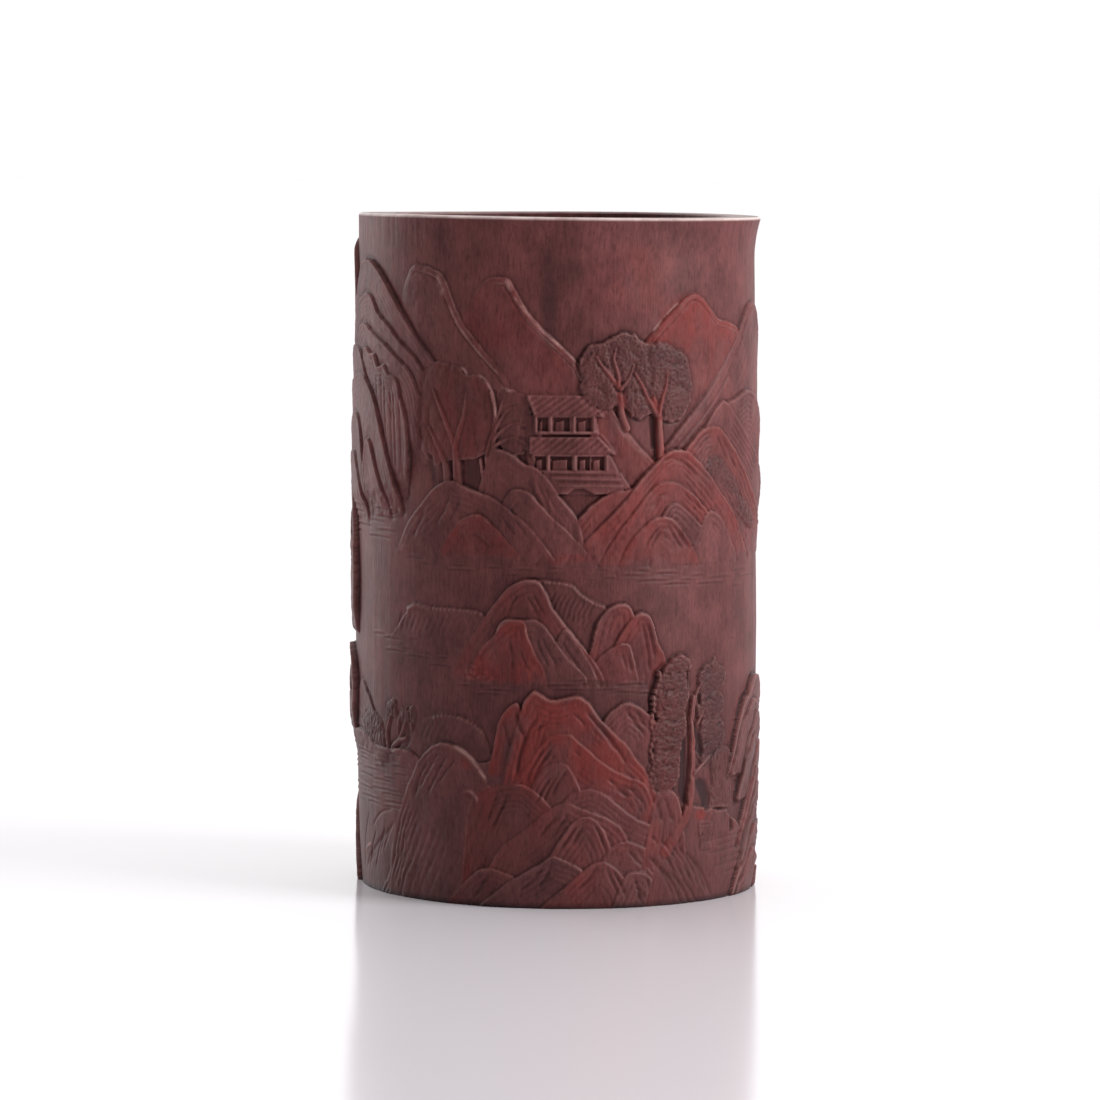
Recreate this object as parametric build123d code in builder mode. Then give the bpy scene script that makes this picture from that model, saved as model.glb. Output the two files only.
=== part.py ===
"""Brush pot cut from a length of bamboo culm, carved in relief, with a let-in base board.

Frame: +Z up, -Y is the front of the pot. The origin is the bottom centre of the pot's bounding box,
on the surface that the foot ring stands on. The culm leans a little to -X, and both ends are sawn level.

Places on the carved surface are (angle, height): the angle in degrees round the pot from the front,
positive towards +X, and the height in millimetres above the foot.
"""

from build123d import *

import os
from math import cos, radians, sin, tan

# ---- Driving dimensions, millimetres and degrees
HEIGHT = 158.0  # foot ring to lip
LEAN = 0.46  # how far the culm's own axis is off vertical
GROUND_DEPTH = 1.7  # how far the carver cut back behind the highest relief
SKIN_PROFILE = [  # (height, radius) of the uncut bamboo skin
    (0.0, 47.5),
    (10.0, 48.0),
    (35.0, 48.7),
    (62.0, 49.0),
    (110.0, 48.5),
    (148.0, 48.2),
]
LIP_FLARE = 1.5  # the lip spreads this far on the +X side, and not at all on the -X side
LIP_FLARE_HEIGHT = 10.0
LIP_ROUND = 0.6
BORE_R_FOOT = 38.4
BORE_R_LIP = 40.2
FOOT_BEVEL = 0.7

BOARD_R = 42.4  # let-in base board
BOARD_THICKNESS = 5.0
BOARD_RECESS = 1.2  # its underside sits this far above the foot
BOARD_BEVEL = 0.4
BOARD_SIDE_GAP = 0.05

PIN_COUNT = 4
PIN_R = 0.8
PIN_CIRCLE_R = 40.4
PIN_LENGTH = 12.0
FIRST_PIN_ANGLE = 45.0

SEAL_LEG = 1.6  # lacquer putty round the top of the board
SEAL_TOP_WIDTH = 0.2
SEAL_BORE_GAP = 0.04

BOARD_TOP = BOARD_RECESS + BOARD_THICKNESS
PIN_TOP = BOARD_RECESS + PIN_LENGTH

# Raised masses of the carving: how far below the skin the mass's face is, and its outline.
# Near rocks stand highest, and far hills are cut lower.
RELIEF = {
    "left_mountains": (0.30, [
        (-112, 92), (-104, 126), (-96, 150), (-86, 140), (-76, 143), (-70, 147),
        (-60, 144), (-36, 125), (-34, 96), (-58, 94), (-76, 92),
    ]),
    "left_far_hills": (1.25, [(-42, 123), (-45, 145), (-35, 144), (-26, 135), (-14, 144), (6, 124)]),
    "right_far_peak": (1.10, [(26, 127), (44, 140), (54, 135), (66, 133), (66, 122), (34, 116)]),
    "right_mountain": (0.55, [
        (26, 104), (44, 117), (60, 130), (72, 138), (88, 137), (104, 121), (112, 92), (60, 84),
    ]),
    "right_rocks": (0.20, [
        (-3, 81.5), (31, 104), (38, 103), (49, 110), (55, 116), (72, 118), (88, 110), (97, 82), (40, 80.5),
    ]),
    "left_grove": (0.75, [(-41, 97), (-40, 121), (-28, 123.5), (-8, 118), (-5, 96), (-20, 92)]),
    "pavilion": (0.65, [(-8, 97), (-7, 117.5), (9, 117), (20, 97)]),
    "great_tree": (0.45, [
        (24, 105), (16, 113), (7, 119), (7, 127), (17, 131), (27, 130), (38, 126), (41, 118), (32, 112),
    ]),
    "middle_rocks": (0.40, [(-50, 81), (-44, 92), (-28, 98), (-16, 95), (2, 81.5)]),
    "island": (0.50, [(-30, 53), (-16, 70), (-8, 75), (10, 69.5), (24, 68.5), (32, 53)]),
    "island_shore": (1.30, [(-50, 60), (-46, 67), (-20, 67.5), (-20, 60)]),
    "front_rocks": (0.10, [
        (-64, 0), (-56, 18), (-40, 36), (-30, 37), (-18, 34), (-14, 45), (-6, 49), (8, 49),
        (28, 42), (40, 24), (52, 14), (58, 0),
    ]),
    "pine": (0.15, [(28, 27), (27, 50), (34, 58), (41, 56), (54, 55), (55, 43), (47, 26), (36, 16)]),
    "right_bank": (0.35, [(44, 0), (50, 22), (66, 41), (78, 50), (96, 48), (118, 30), (124, 0)]),
    "left_bank": (0.45, [(-120, 0), (-112, 34), (-96, 56), (-78, 56), (-76, 42), (-50, 36), (-60, 0)]),
    "back_cliff": (0.25, [(-134, 62), (-128, 88), (-112, 96), (-90, 92), (-88, 62)]),
    "back_far_range": (1.20, [
        (118, 112), (130, 128), (142, 140), (154, 131), (166, 138), (180, 146), (196, 130), (214, 112),
    ]),
    "back_mountains": (0.50, [
        (116, 82), (126, 104), (140, 118), (154, 110), (168, 122), (184, 112), (204, 96), (222, 82),
    ]),
    "back_island": (0.60, [(150, 54), (160, 66), (172, 72), (186, 64), (202, 54)]),
    "back_rocks": (0.15, [
        (112, 0), (122, 28), (138, 44), (152, 36), (168, 46), (184, 38), (204, 44), (222, 30), (244, 0),
    ]),
}


def culm_shift(height):
    """How far the culm's axis is from the Z axis, along X, at a height."""
    return -(height - HEIGHT / 2) * tan(radians(LEAN))


def facing(angle):
    """A vertical plane through the Z axis that looks outwards at an angle round the pot."""
    a = radians(angle)
    return Plane(origin=(0, 0, 0), x_dir=(cos(a), sin(a), 0), z_dir=(sin(a), -cos(a), 0))


def skin_radius(height):
    """The uncut skin's radius, straight between the profile's heights."""
    for (low, r_low), (high, r_high) in zip(SKIN_PROFILE, SKIN_PROFILE[1:]):
        if height <= high:
            return r_low + (r_high - r_low) * (height - low) / (high - low)
    return SKIN_PROFILE[-1][1]


def bore_radius(height):
    """The bore widens evenly from the foot to the lip."""
    return BORE_R_FOOT + (BORE_R_LIP - BORE_R_FOOT) * height / HEIGHT


def level_circle(height, radius, shift=0.0):
    """A level disc, centred on the leaning culm's axis at its height, or shifted towards +X."""
    with BuildSketch(Plane.XY.offset(height)) as disc:
        with Locations((culm_shift(height) + shift, 0)):
            Circle(radius)
    return disc.sketch


def foot_circle(height, radius):
    """A level disc, centred where the culm's axis meets the foot."""
    with BuildSketch(Plane.XY.offset(height)) as disc:
        with Locations((culm_shift(0), 0)):
            Circle(radius)
    return disc.sketch


def pin_circles(height):
    """The pins' discs at a height, in the pattern that the wall and the board share."""
    with BuildSketch(Plane.XY.offset(height)) as discs:
        with Locations((culm_shift(0), 0)):
            with PolarLocations(PIN_CIRCLE_R, PIN_COUNT, start_angle=FIRST_PIN_ANGLE):
                Circle(PIN_R)
    return discs.sketch


def culm_sections():
    """The ground's level discs from foot to lip. The lip's +X side spreads, and its -X side stays in line."""
    sections = [level_circle(height, radius - GROUND_DEPTH) for height, radius in SKIN_PROFILE]
    for share in (0.5, 1.0):
        spread = LIP_FLARE * share**2
        lip_height = HEIGHT - LIP_FLARE_HEIGHT * (1 - share)
        radius = skin_radius(HEIGHT) - GROUND_DEPTH + spread / 2
        sections.append(level_circle(lip_height, radius, shift=spread / 2))
    return sections


def relief_mass(depth, outline):
    """One raised mass: its outline seen square on, standing out from inside the wall to its own face."""
    angles = [angle for angle, _ in outline]
    heights = [height for _, height in outline]
    middle = (min(angles) + max(angles)) / 2
    mid_height = (min(heights) + max(heights)) / 2
    face_r = skin_radius(mid_height) - depth
    core_r = (bore_radius(mid_height) + skin_radius(mid_height)) / 2
    tilt = radians(LEAN)
    culm_base = Plane(origin=(culm_shift(0), 0, 0), z_dir=(-sin(tilt), 0, cos(tilt)))
    with BuildPart() as mass:
        with BuildSketch(facing(middle)):
            with BuildLine():
                Polyline(*[(face_r * sin(radians(a - middle)), h) for a, h in outline], close=True)
            make_face()
        extrude(amount=2 * face_r)
        with BuildSketch(culm_base):
            Circle(face_r)
            Circle(core_r, mode=Mode.SUBTRACT)
        extrude(amount=HEIGHT, both=True, mode=Mode.INTERSECT)
    return mass.part


# ---- Carved wall: the culm cut back to its ground, with the relief left standing on it
masses = [relief_mass(depth, outline) for depth, outline in RELIEF.values()]

with BuildPart() as carved_wall:
    loft(culm_sections())
    add(masses)
    loft([level_circle(0, bore_radius(0)), level_circle(HEIGHT, bore_radius(HEIGHT))], mode=Mode.SUBTRACT)
    extrude(foot_circle(0, BOARD_R), amount=BOARD_TOP, mode=Mode.SUBTRACT)
    extrude(pin_circles(BOARD_TOP), amount=PIN_TOP - BOARD_TOP, mode=Mode.SUBTRACT)
    fillet(carved_wall.faces().sort_by(Axis.Z)[-1].edges(), radius=LIP_ROUND)
    with BuildSketch(Plane(origin=(culm_shift(0), 0, 0), z_dir=(0, -1, 0))):
        with BuildLine():
            Polyline(
                (skin_radius(0) - FOOT_BEVEL, 0),
                (skin_radius(0) + FOOT_BEVEL, 0),
                (skin_radius(0) + FOOT_BEVEL, 2 * FOOT_BEVEL),
                close=True,
            )
        make_face()
    revolve(axis=Axis((culm_shift(0), 0, 0), (0, 0, 1)), mode=Mode.SUBTRACT)
carved_wall.part.label = "carved_wall"

# ---- Base board: a turned disc let into the foot from below, up to the rebate's shoulder
with BuildPart() as base_board:
    extrude(foot_circle(BOARD_RECESS, BOARD_R - BOARD_SIDE_GAP), amount=BOARD_THICKNESS)
    chamfer(base_board.edges().group_by(Axis.Z)[0], length=BOARD_BEVEL)
    extrude(pin_circles(BOARD_RECESS), amount=BOARD_THICKNESS, mode=Mode.SUBTRACT)
base_board.part.label = "base_board"

# ---- Pins: bamboo pins driven up through the board's edge into the wall
with BuildPart() as base_pins:
    extrude(pin_circles(BOARD_RECESS), amount=PIN_LENGTH)
base_pins.part.label = "base_pins"

# ---- Seal: a fillet of lacquer putty in the corner between the board and the bore
with BuildPart() as lacquer_seal:
    extrude(level_circle(BOARD_TOP, bore_radius(BOARD_TOP) - SEAL_BORE_GAP), amount=SEAL_LEG)
    inner_foot = level_circle(BOARD_TOP, bore_radius(BOARD_TOP) - SEAL_LEG)
    inner_top = level_circle(BOARD_TOP + SEAL_LEG, bore_radius(BOARD_TOP) - SEAL_TOP_WIDTH)
    loft([inner_foot, inner_top], mode=Mode.SUBTRACT)
lacquer_seal.part.label = "lacquer_seal"

os.makedirs("parts", exist_ok=True)
for piece in (carved_wall, base_board, base_pins, lacquer_seal):
    export_step(piece.part, f"parts/{piece.part.label}.step")
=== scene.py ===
"""Carved bamboo brush pot, dressed round its CAD frame.

The outside of the pot is one height map, in millimetres above the uncut bamboo skin. The carving
section cuts it feature by feature, far hills first and near rocks last. Places on the pot are
(angle, height): degrees round it from the front, positive towards +X, and millimetres above the foot.
"""

from math import cos, pi, radians, sin, tan
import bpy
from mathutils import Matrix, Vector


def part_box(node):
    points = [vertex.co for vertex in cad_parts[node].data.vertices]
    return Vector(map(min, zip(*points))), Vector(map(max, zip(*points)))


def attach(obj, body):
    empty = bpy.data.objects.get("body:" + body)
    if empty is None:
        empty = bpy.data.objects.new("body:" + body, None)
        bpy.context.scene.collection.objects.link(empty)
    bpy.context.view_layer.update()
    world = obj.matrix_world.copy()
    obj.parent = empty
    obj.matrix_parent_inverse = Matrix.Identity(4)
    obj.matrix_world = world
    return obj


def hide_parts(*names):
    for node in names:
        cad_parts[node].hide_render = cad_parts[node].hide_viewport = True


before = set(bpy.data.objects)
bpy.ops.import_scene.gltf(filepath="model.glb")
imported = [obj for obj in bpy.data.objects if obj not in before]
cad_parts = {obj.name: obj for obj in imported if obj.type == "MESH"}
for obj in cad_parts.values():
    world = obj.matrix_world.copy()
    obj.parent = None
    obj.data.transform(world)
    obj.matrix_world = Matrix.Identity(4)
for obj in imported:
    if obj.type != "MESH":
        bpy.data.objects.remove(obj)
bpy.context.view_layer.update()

from types import SimpleNamespace

import bpy
import numpy as np
from mathutils import Matrix, Vector

# ---------------------------------------------------------------- sizes, in millimetres and degrees
MM = 0.001
wall_low, wall_high = (np.array(corner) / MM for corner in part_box("carved_wall"))
board_low, board_high = (np.array(corner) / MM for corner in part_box("base_board"))
seal_low, seal_high = (np.array(corner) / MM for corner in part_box("lacquer_seal"))

BOARD_SIDE_GAP = 0.05
BORE_WIDENS = 1.8  # the bore's radius grows by this from foot to lip
HEIGHT = wall_high[2] - wall_low[2]
BOARD_R = (board_high[0] - board_low[0]) / 2 + BOARD_SIDE_GAP
BOARD_TOP = board_high[2]
BORE_R_FOOT = (seal_high[0] - seal_low[0]) / 2
BORE_R_LIP = BORE_R_FOOT + BORE_WIDENS
LEAN = 0.46
GROUND_DEPTH = 1.7
SKIN_HEIGHTS = (0, 10, 35, 62, 110, 148, 158)
SKIN_RADII = (47.5, 48.0, 48.7, 49.0, 48.5, 48.2, 48.2)
LIP_FLARE = 1.5
LIP_FLARE_HEIGHT = 10.0
LIP_ROUND = 0.6
FOOT_BEVEL = 0.7
PLAIN_FROM = 149.0  # the carving ends here, and the plain band under the lip begins
DEEPEST_CUT = -2.15
DEEPEST_LEAN = -1.62  # a face that leans back stops sinking here

CELL = 0.26  # the height map's spacing
ARC = 48.0 * pi / 180  # millimetres round the pot in one degree
COLUMNS = int(360 * ARC / CELL) // 8 * 8
ROWS = int(HEIGHT / CELL)


def shift(height):
    """How far the leaning culm's centre is along X at a height."""
    return -(height - HEIGHT / 2) * tan(radians(LEAN))


def smoothstep(x):
    x = np.clip(x, 0.0, 1.0)
    return x * x * (3 - 2 * x)


# ---------------------------------------------------------------- carving kit
column_angles = np.arange(COLUMNS) * 360 / COLUMNS - 180
row_heights = np.linspace(0.0, HEIGHT, ROWS)
relief = np.full((ROWS, COLUMNS), -GROUND_DEPTH)
redness = np.zeros((ROWS, COLUMNS))
# soot darkens stain smears and leafy crowns, and is painted shade in the pits and the pine's slots
soot_and_shade_map = np.zeros((ROWS, COLUMNS))
# rims hold the crests' wear and their painted highlights
rim_wear_and_highlight_map = np.zeros((ROWS, COLUMNS))


def noise(span_u, span_z, seed, rows=ROWS, columns=COLUMNS):
    """Smooth noise from -1 to 1 that closes round the pot, with blobs of about the given size."""
    lattice_z = max(2, int(HEIGHT / span_z)) + 2
    lattice_u = max(3, int(360 * ARC / span_u))
    values = np.random.default_rng(seed).uniform(-1, 1, (lattice_z, lattice_u))
    z = np.linspace(0, lattice_z - 1.001, rows)
    u = np.arange(columns) * lattice_u / columns
    z0, u0 = z.astype(int), u.astype(int)
    tz, tu = smoothstep(z - z0)[:, None], smoothstep(u - u0)[None, :]
    u1 = (u0 + 1) % lattice_u
    low = values[z0][:, u0] * (1 - tu) + values[z0][:, u1] * tu
    high = values[z0 + 1][:, u0] * (1 - tu) + values[z0 + 1][:, u1] * tu
    return low * (1 - tz) + high * tz


WANDER = noise(5.0, 5.0, 11)
FINE = noise(1.2, 1.2, 12)
PATCHES = noise(4.0, 9.0, 13)


class Window:
    """The cells near some points: their indices, and their places in millimetres round and up the pot."""

    def __init__(self, points, margin):
        points = np.asarray(points, float)
        low, high = points.min(axis=0), points.max(axis=0)
        first = int(np.floor((low[0] - margin / ARC + 180) / 360 * COLUMNS))
        last = int(np.ceil((high[0] + margin / ARC + 180) / 360 * COLUMNS))
        bottom = max(0, int((low[1] - margin) / HEIGHT * (ROWS - 1)))
        top = min(ROWS, int((high[1] + margin) / HEIGHT * (ROWS - 1)) + 2)
        columns, rows = np.arange(first, last + 1), np.arange(bottom, max(top, bottom + 1))
        self.cells = np.ix_(rows, columns % COLUMNS)
        self.u = np.broadcast_to((columns * 360 / COLUMNS - 180) * ARC, (len(rows), len(columns)))
        self.z = np.broadcast_to(row_heights[rows][:, None], (len(rows), len(columns)))


def smooth_line(points, pieces=5):
    """A Catmull-Rom curve through (angle, height) points, as points in millimetres."""
    p = np.array(points, float) * (ARC, 1)
    if len(p) < 3:
        return p
    p = np.vstack([2 * p[0] - p[1], p, 2 * p[-1] - p[-2]])
    t = np.linspace(0, 1, pieces, endpoint=False)[:, None]
    spans = [
        0.5 * (2 * b + (c - a) * t + (2 * a - 5 * b + 4 * c - d) * t**2 + (3 * b - a - 3 * c + d) * t**3)
        for a, b, c, d in zip(p, p[1:], p[2:], p[3:])
    ]
    return np.vstack([*spans, p[-2]])


def nearest(line, w):
    """Each cell's distance to a line, and how far along the line its nearest point is, in millimetres."""
    best = np.full(w.u.shape, 1e9)
    along = np.zeros(w.u.shape)
    start = 0.0
    for (pu, pz), (qu, qz) in zip(line, line[1:]):
        du, dz = qu - pu, qz - pz
        length = max(np.hypot(du, dz), 1e-9)
        t = np.clip(((w.u - pu) * du + (w.z - pz) * dz) / length**2, 0, 1)
        distance = np.hypot(w.u - pu - t * du, w.z - pz - t * dz)
        closer = distance < best
        best = np.where(closer, distance, best)
        along = np.where(closer, start + t * length, along)
        start += length
    return best, along, start


def within(loop, w):
    """Which cells lie inside a closed loop."""
    inside = np.zeros(w.u.shape, bool)
    for (pu, pz), (qu, qz) in zip(loop, np.roll(loop, -1, axis=0)):
        if pz == qz:
            continue
        crosses = (w.z < pz) != (w.z < qz)
        inside ^= crosses & (w.u < pu + (w.z - pz) * (qu - pu) / (qz - pz))
    return inside


def inset(line, w):
    """Each cell's distance from a line, positive inside the loop that it closes and negative outside."""
    d, _, _ = nearest(line, w)
    return np.where(within(line, w), d, -d)


def lay(w, mask, under, face, red, soot_and_shade, rim_wear_and_highlight):
    """Lays a carved face over what was there: its stain, its soot and painted shade, and its rim of wear and
    painted highlight.
    """
    for field, before, new in ((relief, under, face), (redness, redness[w.cells], red),
                               (soot_and_shade_map, soot_and_shade_map[w.cells], soot_and_shade), (rim_wear_and_highlight_map, rim_wear_and_highlight_map[w.cells], rim_wear_and_highlight)):
        field[w.cells] = before * (1 - mask) + new * mask


def carried_down(line, foot, carry):
    """A crest line with both its ends carried on down to the foot; carry is how far out they may run."""
    ends = []
    for end, before in ((line[0], line[1]), (line[-1], line[-2])):
        run = (end - before) / np.hypot(*(end - before))
        run = np.array([carry * run[0], min(run[1], -0.6)])
        ends.append(end + run * max(0.0, (foot - end[1]) / run[1]))
    return np.vstack([ends[0], line, ends[1]])


def mass(crest, level, foot=None, dip=0.6, reach=4.0, bevel=0.3, drop=0.05, notch=0.0, shadow=0.2, fade=8.0,
         ribs=0.0, spacing=1.3, ribs_to=7.0, lean=0.0, rim_wear_and_highlight=1.0, red=0.0, soot_and_shade=0.0, wander=0.1, carry=0.4,
         spill=0.5, settle=-1.6):
    """A hill or rock that stands in front of what was carved before it.

    Its crest stands at level. Outside the crest is a cut-in shadow, shadow deep and spill wide; inside,
    the face rises over the bevel and then dips away, and lean lets it sink to the left of its peak.
    notch is a cut along the bevel, and ribs are fine cuts that follow the crest. Over the fade above its
    foot it sinks to settle. rim is how bright its edge is coloured: partly wear, and partly a painted
    highlight that is strongest to the right of its peak, on the side the light falls on.
    """
    line = smooth_line(crest)
    if foot is not None:
        line = carried_down(line, foot, carry)
    w = Window(line / (ARC, 1), 2.0)
    d = inset(line, w) + wander * FINE[w.cells]
    mask = smoothstep((d + 0.11) / 0.24)
    deep = np.clip(d, 0, None)
    peak = line[line[:, 1].argmax(), 0]
    left_of_peak = np.clip(peak - w.u, 0, None)
    keen = np.exp(-10 * lean * left_of_peak)
    face = level - drop * keen * (1 - np.clip(deep / bevel, 0, 1))
    face = face - dip * (1 - np.exp(-np.clip(deep - bevel, 0, None) / reach))
    face = face - notch * keen * np.exp(-(((deep - bevel - 0.15) / 0.2) ** 2))
    face = np.maximum(face - lean * left_of_peak, min(level, DEEPEST_LEAN))
    if ribs:
        phase = (deep + 0.45 * WANDER[w.cells]) / spacing
        beside = np.abs(phase - np.round(phase)) * spacing
        broken = smoothstep(0.8 + 1.5 * PATCHES[w.cells])
        band = smoothstep((deep - 0.6) / 0.4) * smoothstep((ribs_to - deep) / 3)
        face = face - ribs * band * broken * np.exp(-((beside / 0.28) ** 2))
    if foot is not None:
        above = w.z - foot + 0.8 * WANDER[w.cells] + 0.5 * FINE[w.cells]
        settled = smoothstep(above / fade)
        face = face * settled + min(level, settle) * (1 - settled)
        mask = mask * smoothstep(above / 1.5)
    face = face + 0.05 * FINE[w.cells] + 0.1 * WANDER[w.cells] * smoothstep(deep / 2)
    under = relief[w.cells] - shadow * keen * np.exp(-((d / spill) ** 2)) * (d > -2.5)
    bright = np.exp(-(((deep - 0.14) / 0.15) ** 2))
    bright = bright + np.exp(-(((deep - bevel + 0.1) / 0.16) ** 2)) * (notch > 0)
    # painted highlight: the rim is brighter to the right of the peak, the side the light falls on
    lit = 0.25 + 0.75 * smoothstep((w.u - peak) / 4 + 0.6)
    patchy = smoothstep(0.5 + 1.3 * PATCHES[w.cells])
    lay(w, mask, under, face, red * np.exp(-deep / 9), soot_and_shade, rim_wear_and_highlight * keen * lit * patchy * bright)


def patch(angle, height, width, tall, red=0.0, soot_and_shade=0.0):
    """A soft-edged area where the stain is redder or darker. The dark ones at the pine's slots are painted
    shade.
    """
    w = Window([(angle - width / ARC, height - tall), (angle + width / ARC, height + tall)], 1.0)
    near = ((w.u - angle * ARC) / width) ** 2 + ((w.z - height) / tall) ** 2
    amount = smoothstep(1 - near)
    redness[w.cells] = np.maximum(redness[w.cells], red * amount)
    soot_and_shade_map[w.cells] = np.maximum(soot_and_shade_map[w.cells], soot_and_shade * amount)


def knife_line(points, width, taper, reach):
    """The cells near a line, and how strongly it marks each, from 0 to 1. It tapers towards its ends."""
    line = smooth_line(points)
    w = Window(line / (ARC, 1), reach * width)
    d, along, length = nearest(line, w)
    ends = smoothstep(along / taper + 0.1) * smoothstep((length - along) / taper + 0.1)
    return w, ends * np.exp(-((d / width) ** 2))


def stroke(points, width=0.32, rise=-0.28, taper=2.0):
    """One knife line: a groove where rise is negative, a standing line where it is positive."""
    w, mark = knife_line(points, width, taper, 3)
    relief[w.cells] += rise * mark


def worn_highlit_edge(points, width=0.3, rise=0.15):
    """A standing edge, worn and with a painted highlight along it."""
    w, mark = knife_line(points, width, 1.5, 4)
    relief[w.cells] += rise * mark
    rim_wear_and_highlight_map[w.cells] = np.maximum(rim_wear_and_highlight_map[w.cells], 1.6 * mark)


def strokes(lines, **how):
    for points in lines:
        stroke(points, **how)


def branch(points, level, start=1.0, end=0.5, shadow=0.4, red=0.0):
    """A round trunk or branch that thins along its length."""
    line = smooth_line(points)
    w = Window(line / (ARC, 1), start + 2)
    d, along, length = nearest(line, w)
    half = start + (end - start) * along / length
    mask = smoothstep((half - d) / 0.3 + 0.5)
    face = level - 0.3 * np.clip(d / half, 0, 1) ** 2 + 0.06 * FINE[w.cells]
    under = relief[w.cells] - shadow * np.exp(-((np.clip(d - half, 0, None) / 0.6) ** 2))
    relief[w.cells] = under * (1 - mask) + face * mask
    redness[w.cells] = np.maximum(redness[w.cells], red * mask)
    rim_wear_and_highlight_map[w.cells] = rim_wear_and_highlight_map[w.cells] * (1 - mask)
    soot_and_shade_map[w.cells] = soot_and_shade_map[w.cells] * (1 - mask)


def dots(lobes, spacing, size, rise, seed):
    """Jittered bumps or pricks over a cluster of round lobes."""
    draw = np.random.default_rng(seed)
    lobes = np.array(lobes, float)
    low = (lobes[:, :2] - lobes[:, 2:] / (ARC, 1)).min(axis=0)
    high = (lobes[:, :2] + lobes[:, 2:] / (ARC, 1)).max(axis=0)
    for angle in np.arange(low[0], high[0], spacing / ARC):
        for height in np.arange(low[1], high[1], spacing):
            a = angle + draw.uniform(-0.45, 0.45) * spacing / ARC
            h = height + draw.uniform(-0.45, 0.45) * spacing
            scale = draw.uniform(0.6, 1.25)
            gap = np.hypot((lobes[:, 0] - a) * ARC, lobes[:, 1] - h) - lobes[:, 2]
            if gap.min() > -0.3:
                continue
            w = Window([(a, h)], 2.5 * size)
            d = np.hypot(w.u - a * ARC, w.z - h)
            relief[w.cells] += rise * scale * np.exp(-((d / (size * scale)) ** 2))


def foliage(outline, level, seed, spacing=1.0, length=1.0, bearing=0.0, scatter=30.0, width=0.2, rise=-0.25,
            red=0.0, soot_and_shade=0.5, shadow=0.22, rim_wear_and_highlight=0.4):
    """A tree's crown cut to an outline, with short leaf cuts all over it."""
    loop = smooth_line([*outline, outline[0]])
    w = Window(loop / (ARC, 1), 2.0)
    d = inset(loop, w) + 0.35 * FINE[w.cells]
    mask = smoothstep((d + 0.13) / 0.28)
    face = level - 0.3 * np.exp(-np.clip(d, 0, None) / 0.8) + 0.12 * WANDER[w.cells] + 0.06 * FINE[w.cells]
    under = relief[w.cells] - shadow * np.exp(-((np.minimum(d, 0) / 0.6) ** 2)) * (d > -2.5)
    # the crown's soot tones it; its rim is a thin painted highlight along the outline
    lay(w, mask, under, face, red, soot_and_shade, rim_wear_and_highlight * np.exp(-(((d - 0.2) / 0.2) ** 2)))
    draw = np.random.default_rng(seed)
    (low_u, low_z), (high_u, high_z) = loop.min(axis=0), loop.max(axis=0)
    u, z = np.meshgrid(np.arange(low_u, high_u, spacing), np.arange(low_z, high_z, spacing))
    u = u + draw.uniform(-0.5, 0.5, u.shape) * spacing
    z = z + draw.uniform(-0.5, 0.5, u.shape) * spacing
    turns = np.radians(draw.normal(bearing, scatter, u.shape))
    kept = within(loop, SimpleNamespace(u=u, z=z))
    for pu, pz, turn in zip(u[kept], z[kept], turns[kept]):
        du, dz = cos(turn) * length / 2, sin(turn) * length / 2
        stroke([((pu - du) / ARC, pz - dz), (pu / ARC, pz + 0.15 * length), ((pu + du) / ARC, pz + dz)],
               width=width, rise=rise, taper=0.2)


def fan(angle, height, size, level, spokes=11, turn=90.0, spread=200.0):
    """A pine's needle cluster: a low disc cut by grooves that spread from its heel."""
    w = Window([(angle, height)], size + 1.5)
    du, dz = w.u - angle * ARC, w.z - height
    d = np.hypot(du, dz)
    bearing = (np.degrees(np.arctan2(dz, du)) - turn + 180) % 360 - 180
    inside = np.abs(bearing) < spread / 2
    edge = size * (0.94 + 0.06 * np.cos(np.radians(bearing) * spokes * 360 / spread))
    mask = smoothstep((edge - d) / 0.3 + 0.5) * inside
    face = level - 0.25 * (d / size) ** 2 - 0.2 * np.exp(-d / 0.5)
    face = face + 0.1 * np.cos(np.radians(bearing) * spokes * 360 / spread) * smoothstep(d / size * 2)
    under = relief[w.cells] - 0.2 * np.exp(-((np.clip(d - edge, 0, None) / 0.5) ** 2)) * inside
    relief[w.cells] = under * (1 - mask) + face * mask


def slab(corners, level, slope=0.0, hatch=None, shadow=0.15, red=0.0):
    """A flat plate such as a roof or a wall. hatch is (bearing, spacing, depth) of its parallel cuts."""
    loop = np.array([*corners, corners[0]], float) * (ARC, 1)
    w = Window(corners, 1.5)
    d = inset(loop, w)
    mask = smoothstep((d + 0.12) / 0.26)
    face = level - slope * (w.z - loop[:, 1].min()) + 0.03 * FINE[w.cells]
    if hatch:
        bearing, spacing, depth = hatch
        along = w.u * sin(radians(bearing)) - w.z * cos(radians(bearing))
        face = face - depth * (0.5 + 0.5 * np.cos(2 * pi * along / spacing)) * smoothstep(d / 0.5)
    under = relief[w.cells] - shadow * np.exp(-((np.minimum(d, 0) / 0.45) ** 2))
    relief[w.cells] = under * (1 - mask) + face * mask
    redness[w.cells] = redness[w.cells] * (1 - mask) + red * mask
    rim_wear_and_highlight_map[w.cells] = rim_wear_and_highlight_map[w.cells] * (1 - mask)


def pit(corners, depth, soft=0.3, soot_and_shade=0.0):
    """A cut straight in, such as a window or the gap between two trunks. Its soot darkens the cut as painted
    shade.
    """
    loop = np.array([*corners, corners[0]], float) * (ARC, 1)
    w = Window(corners, 1.5)
    d = inset(loop, w)
    mask = smoothstep((d + soft / 2) / soft)
    relief[w.cells] = relief[w.cells] * (1 - mask) + np.minimum(relief[w.cells], -depth) * mask
    soot_and_shade_map[w.cells] = np.maximum(soot_and_shade_map[w.cells], soot_and_shade * mask)


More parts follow.
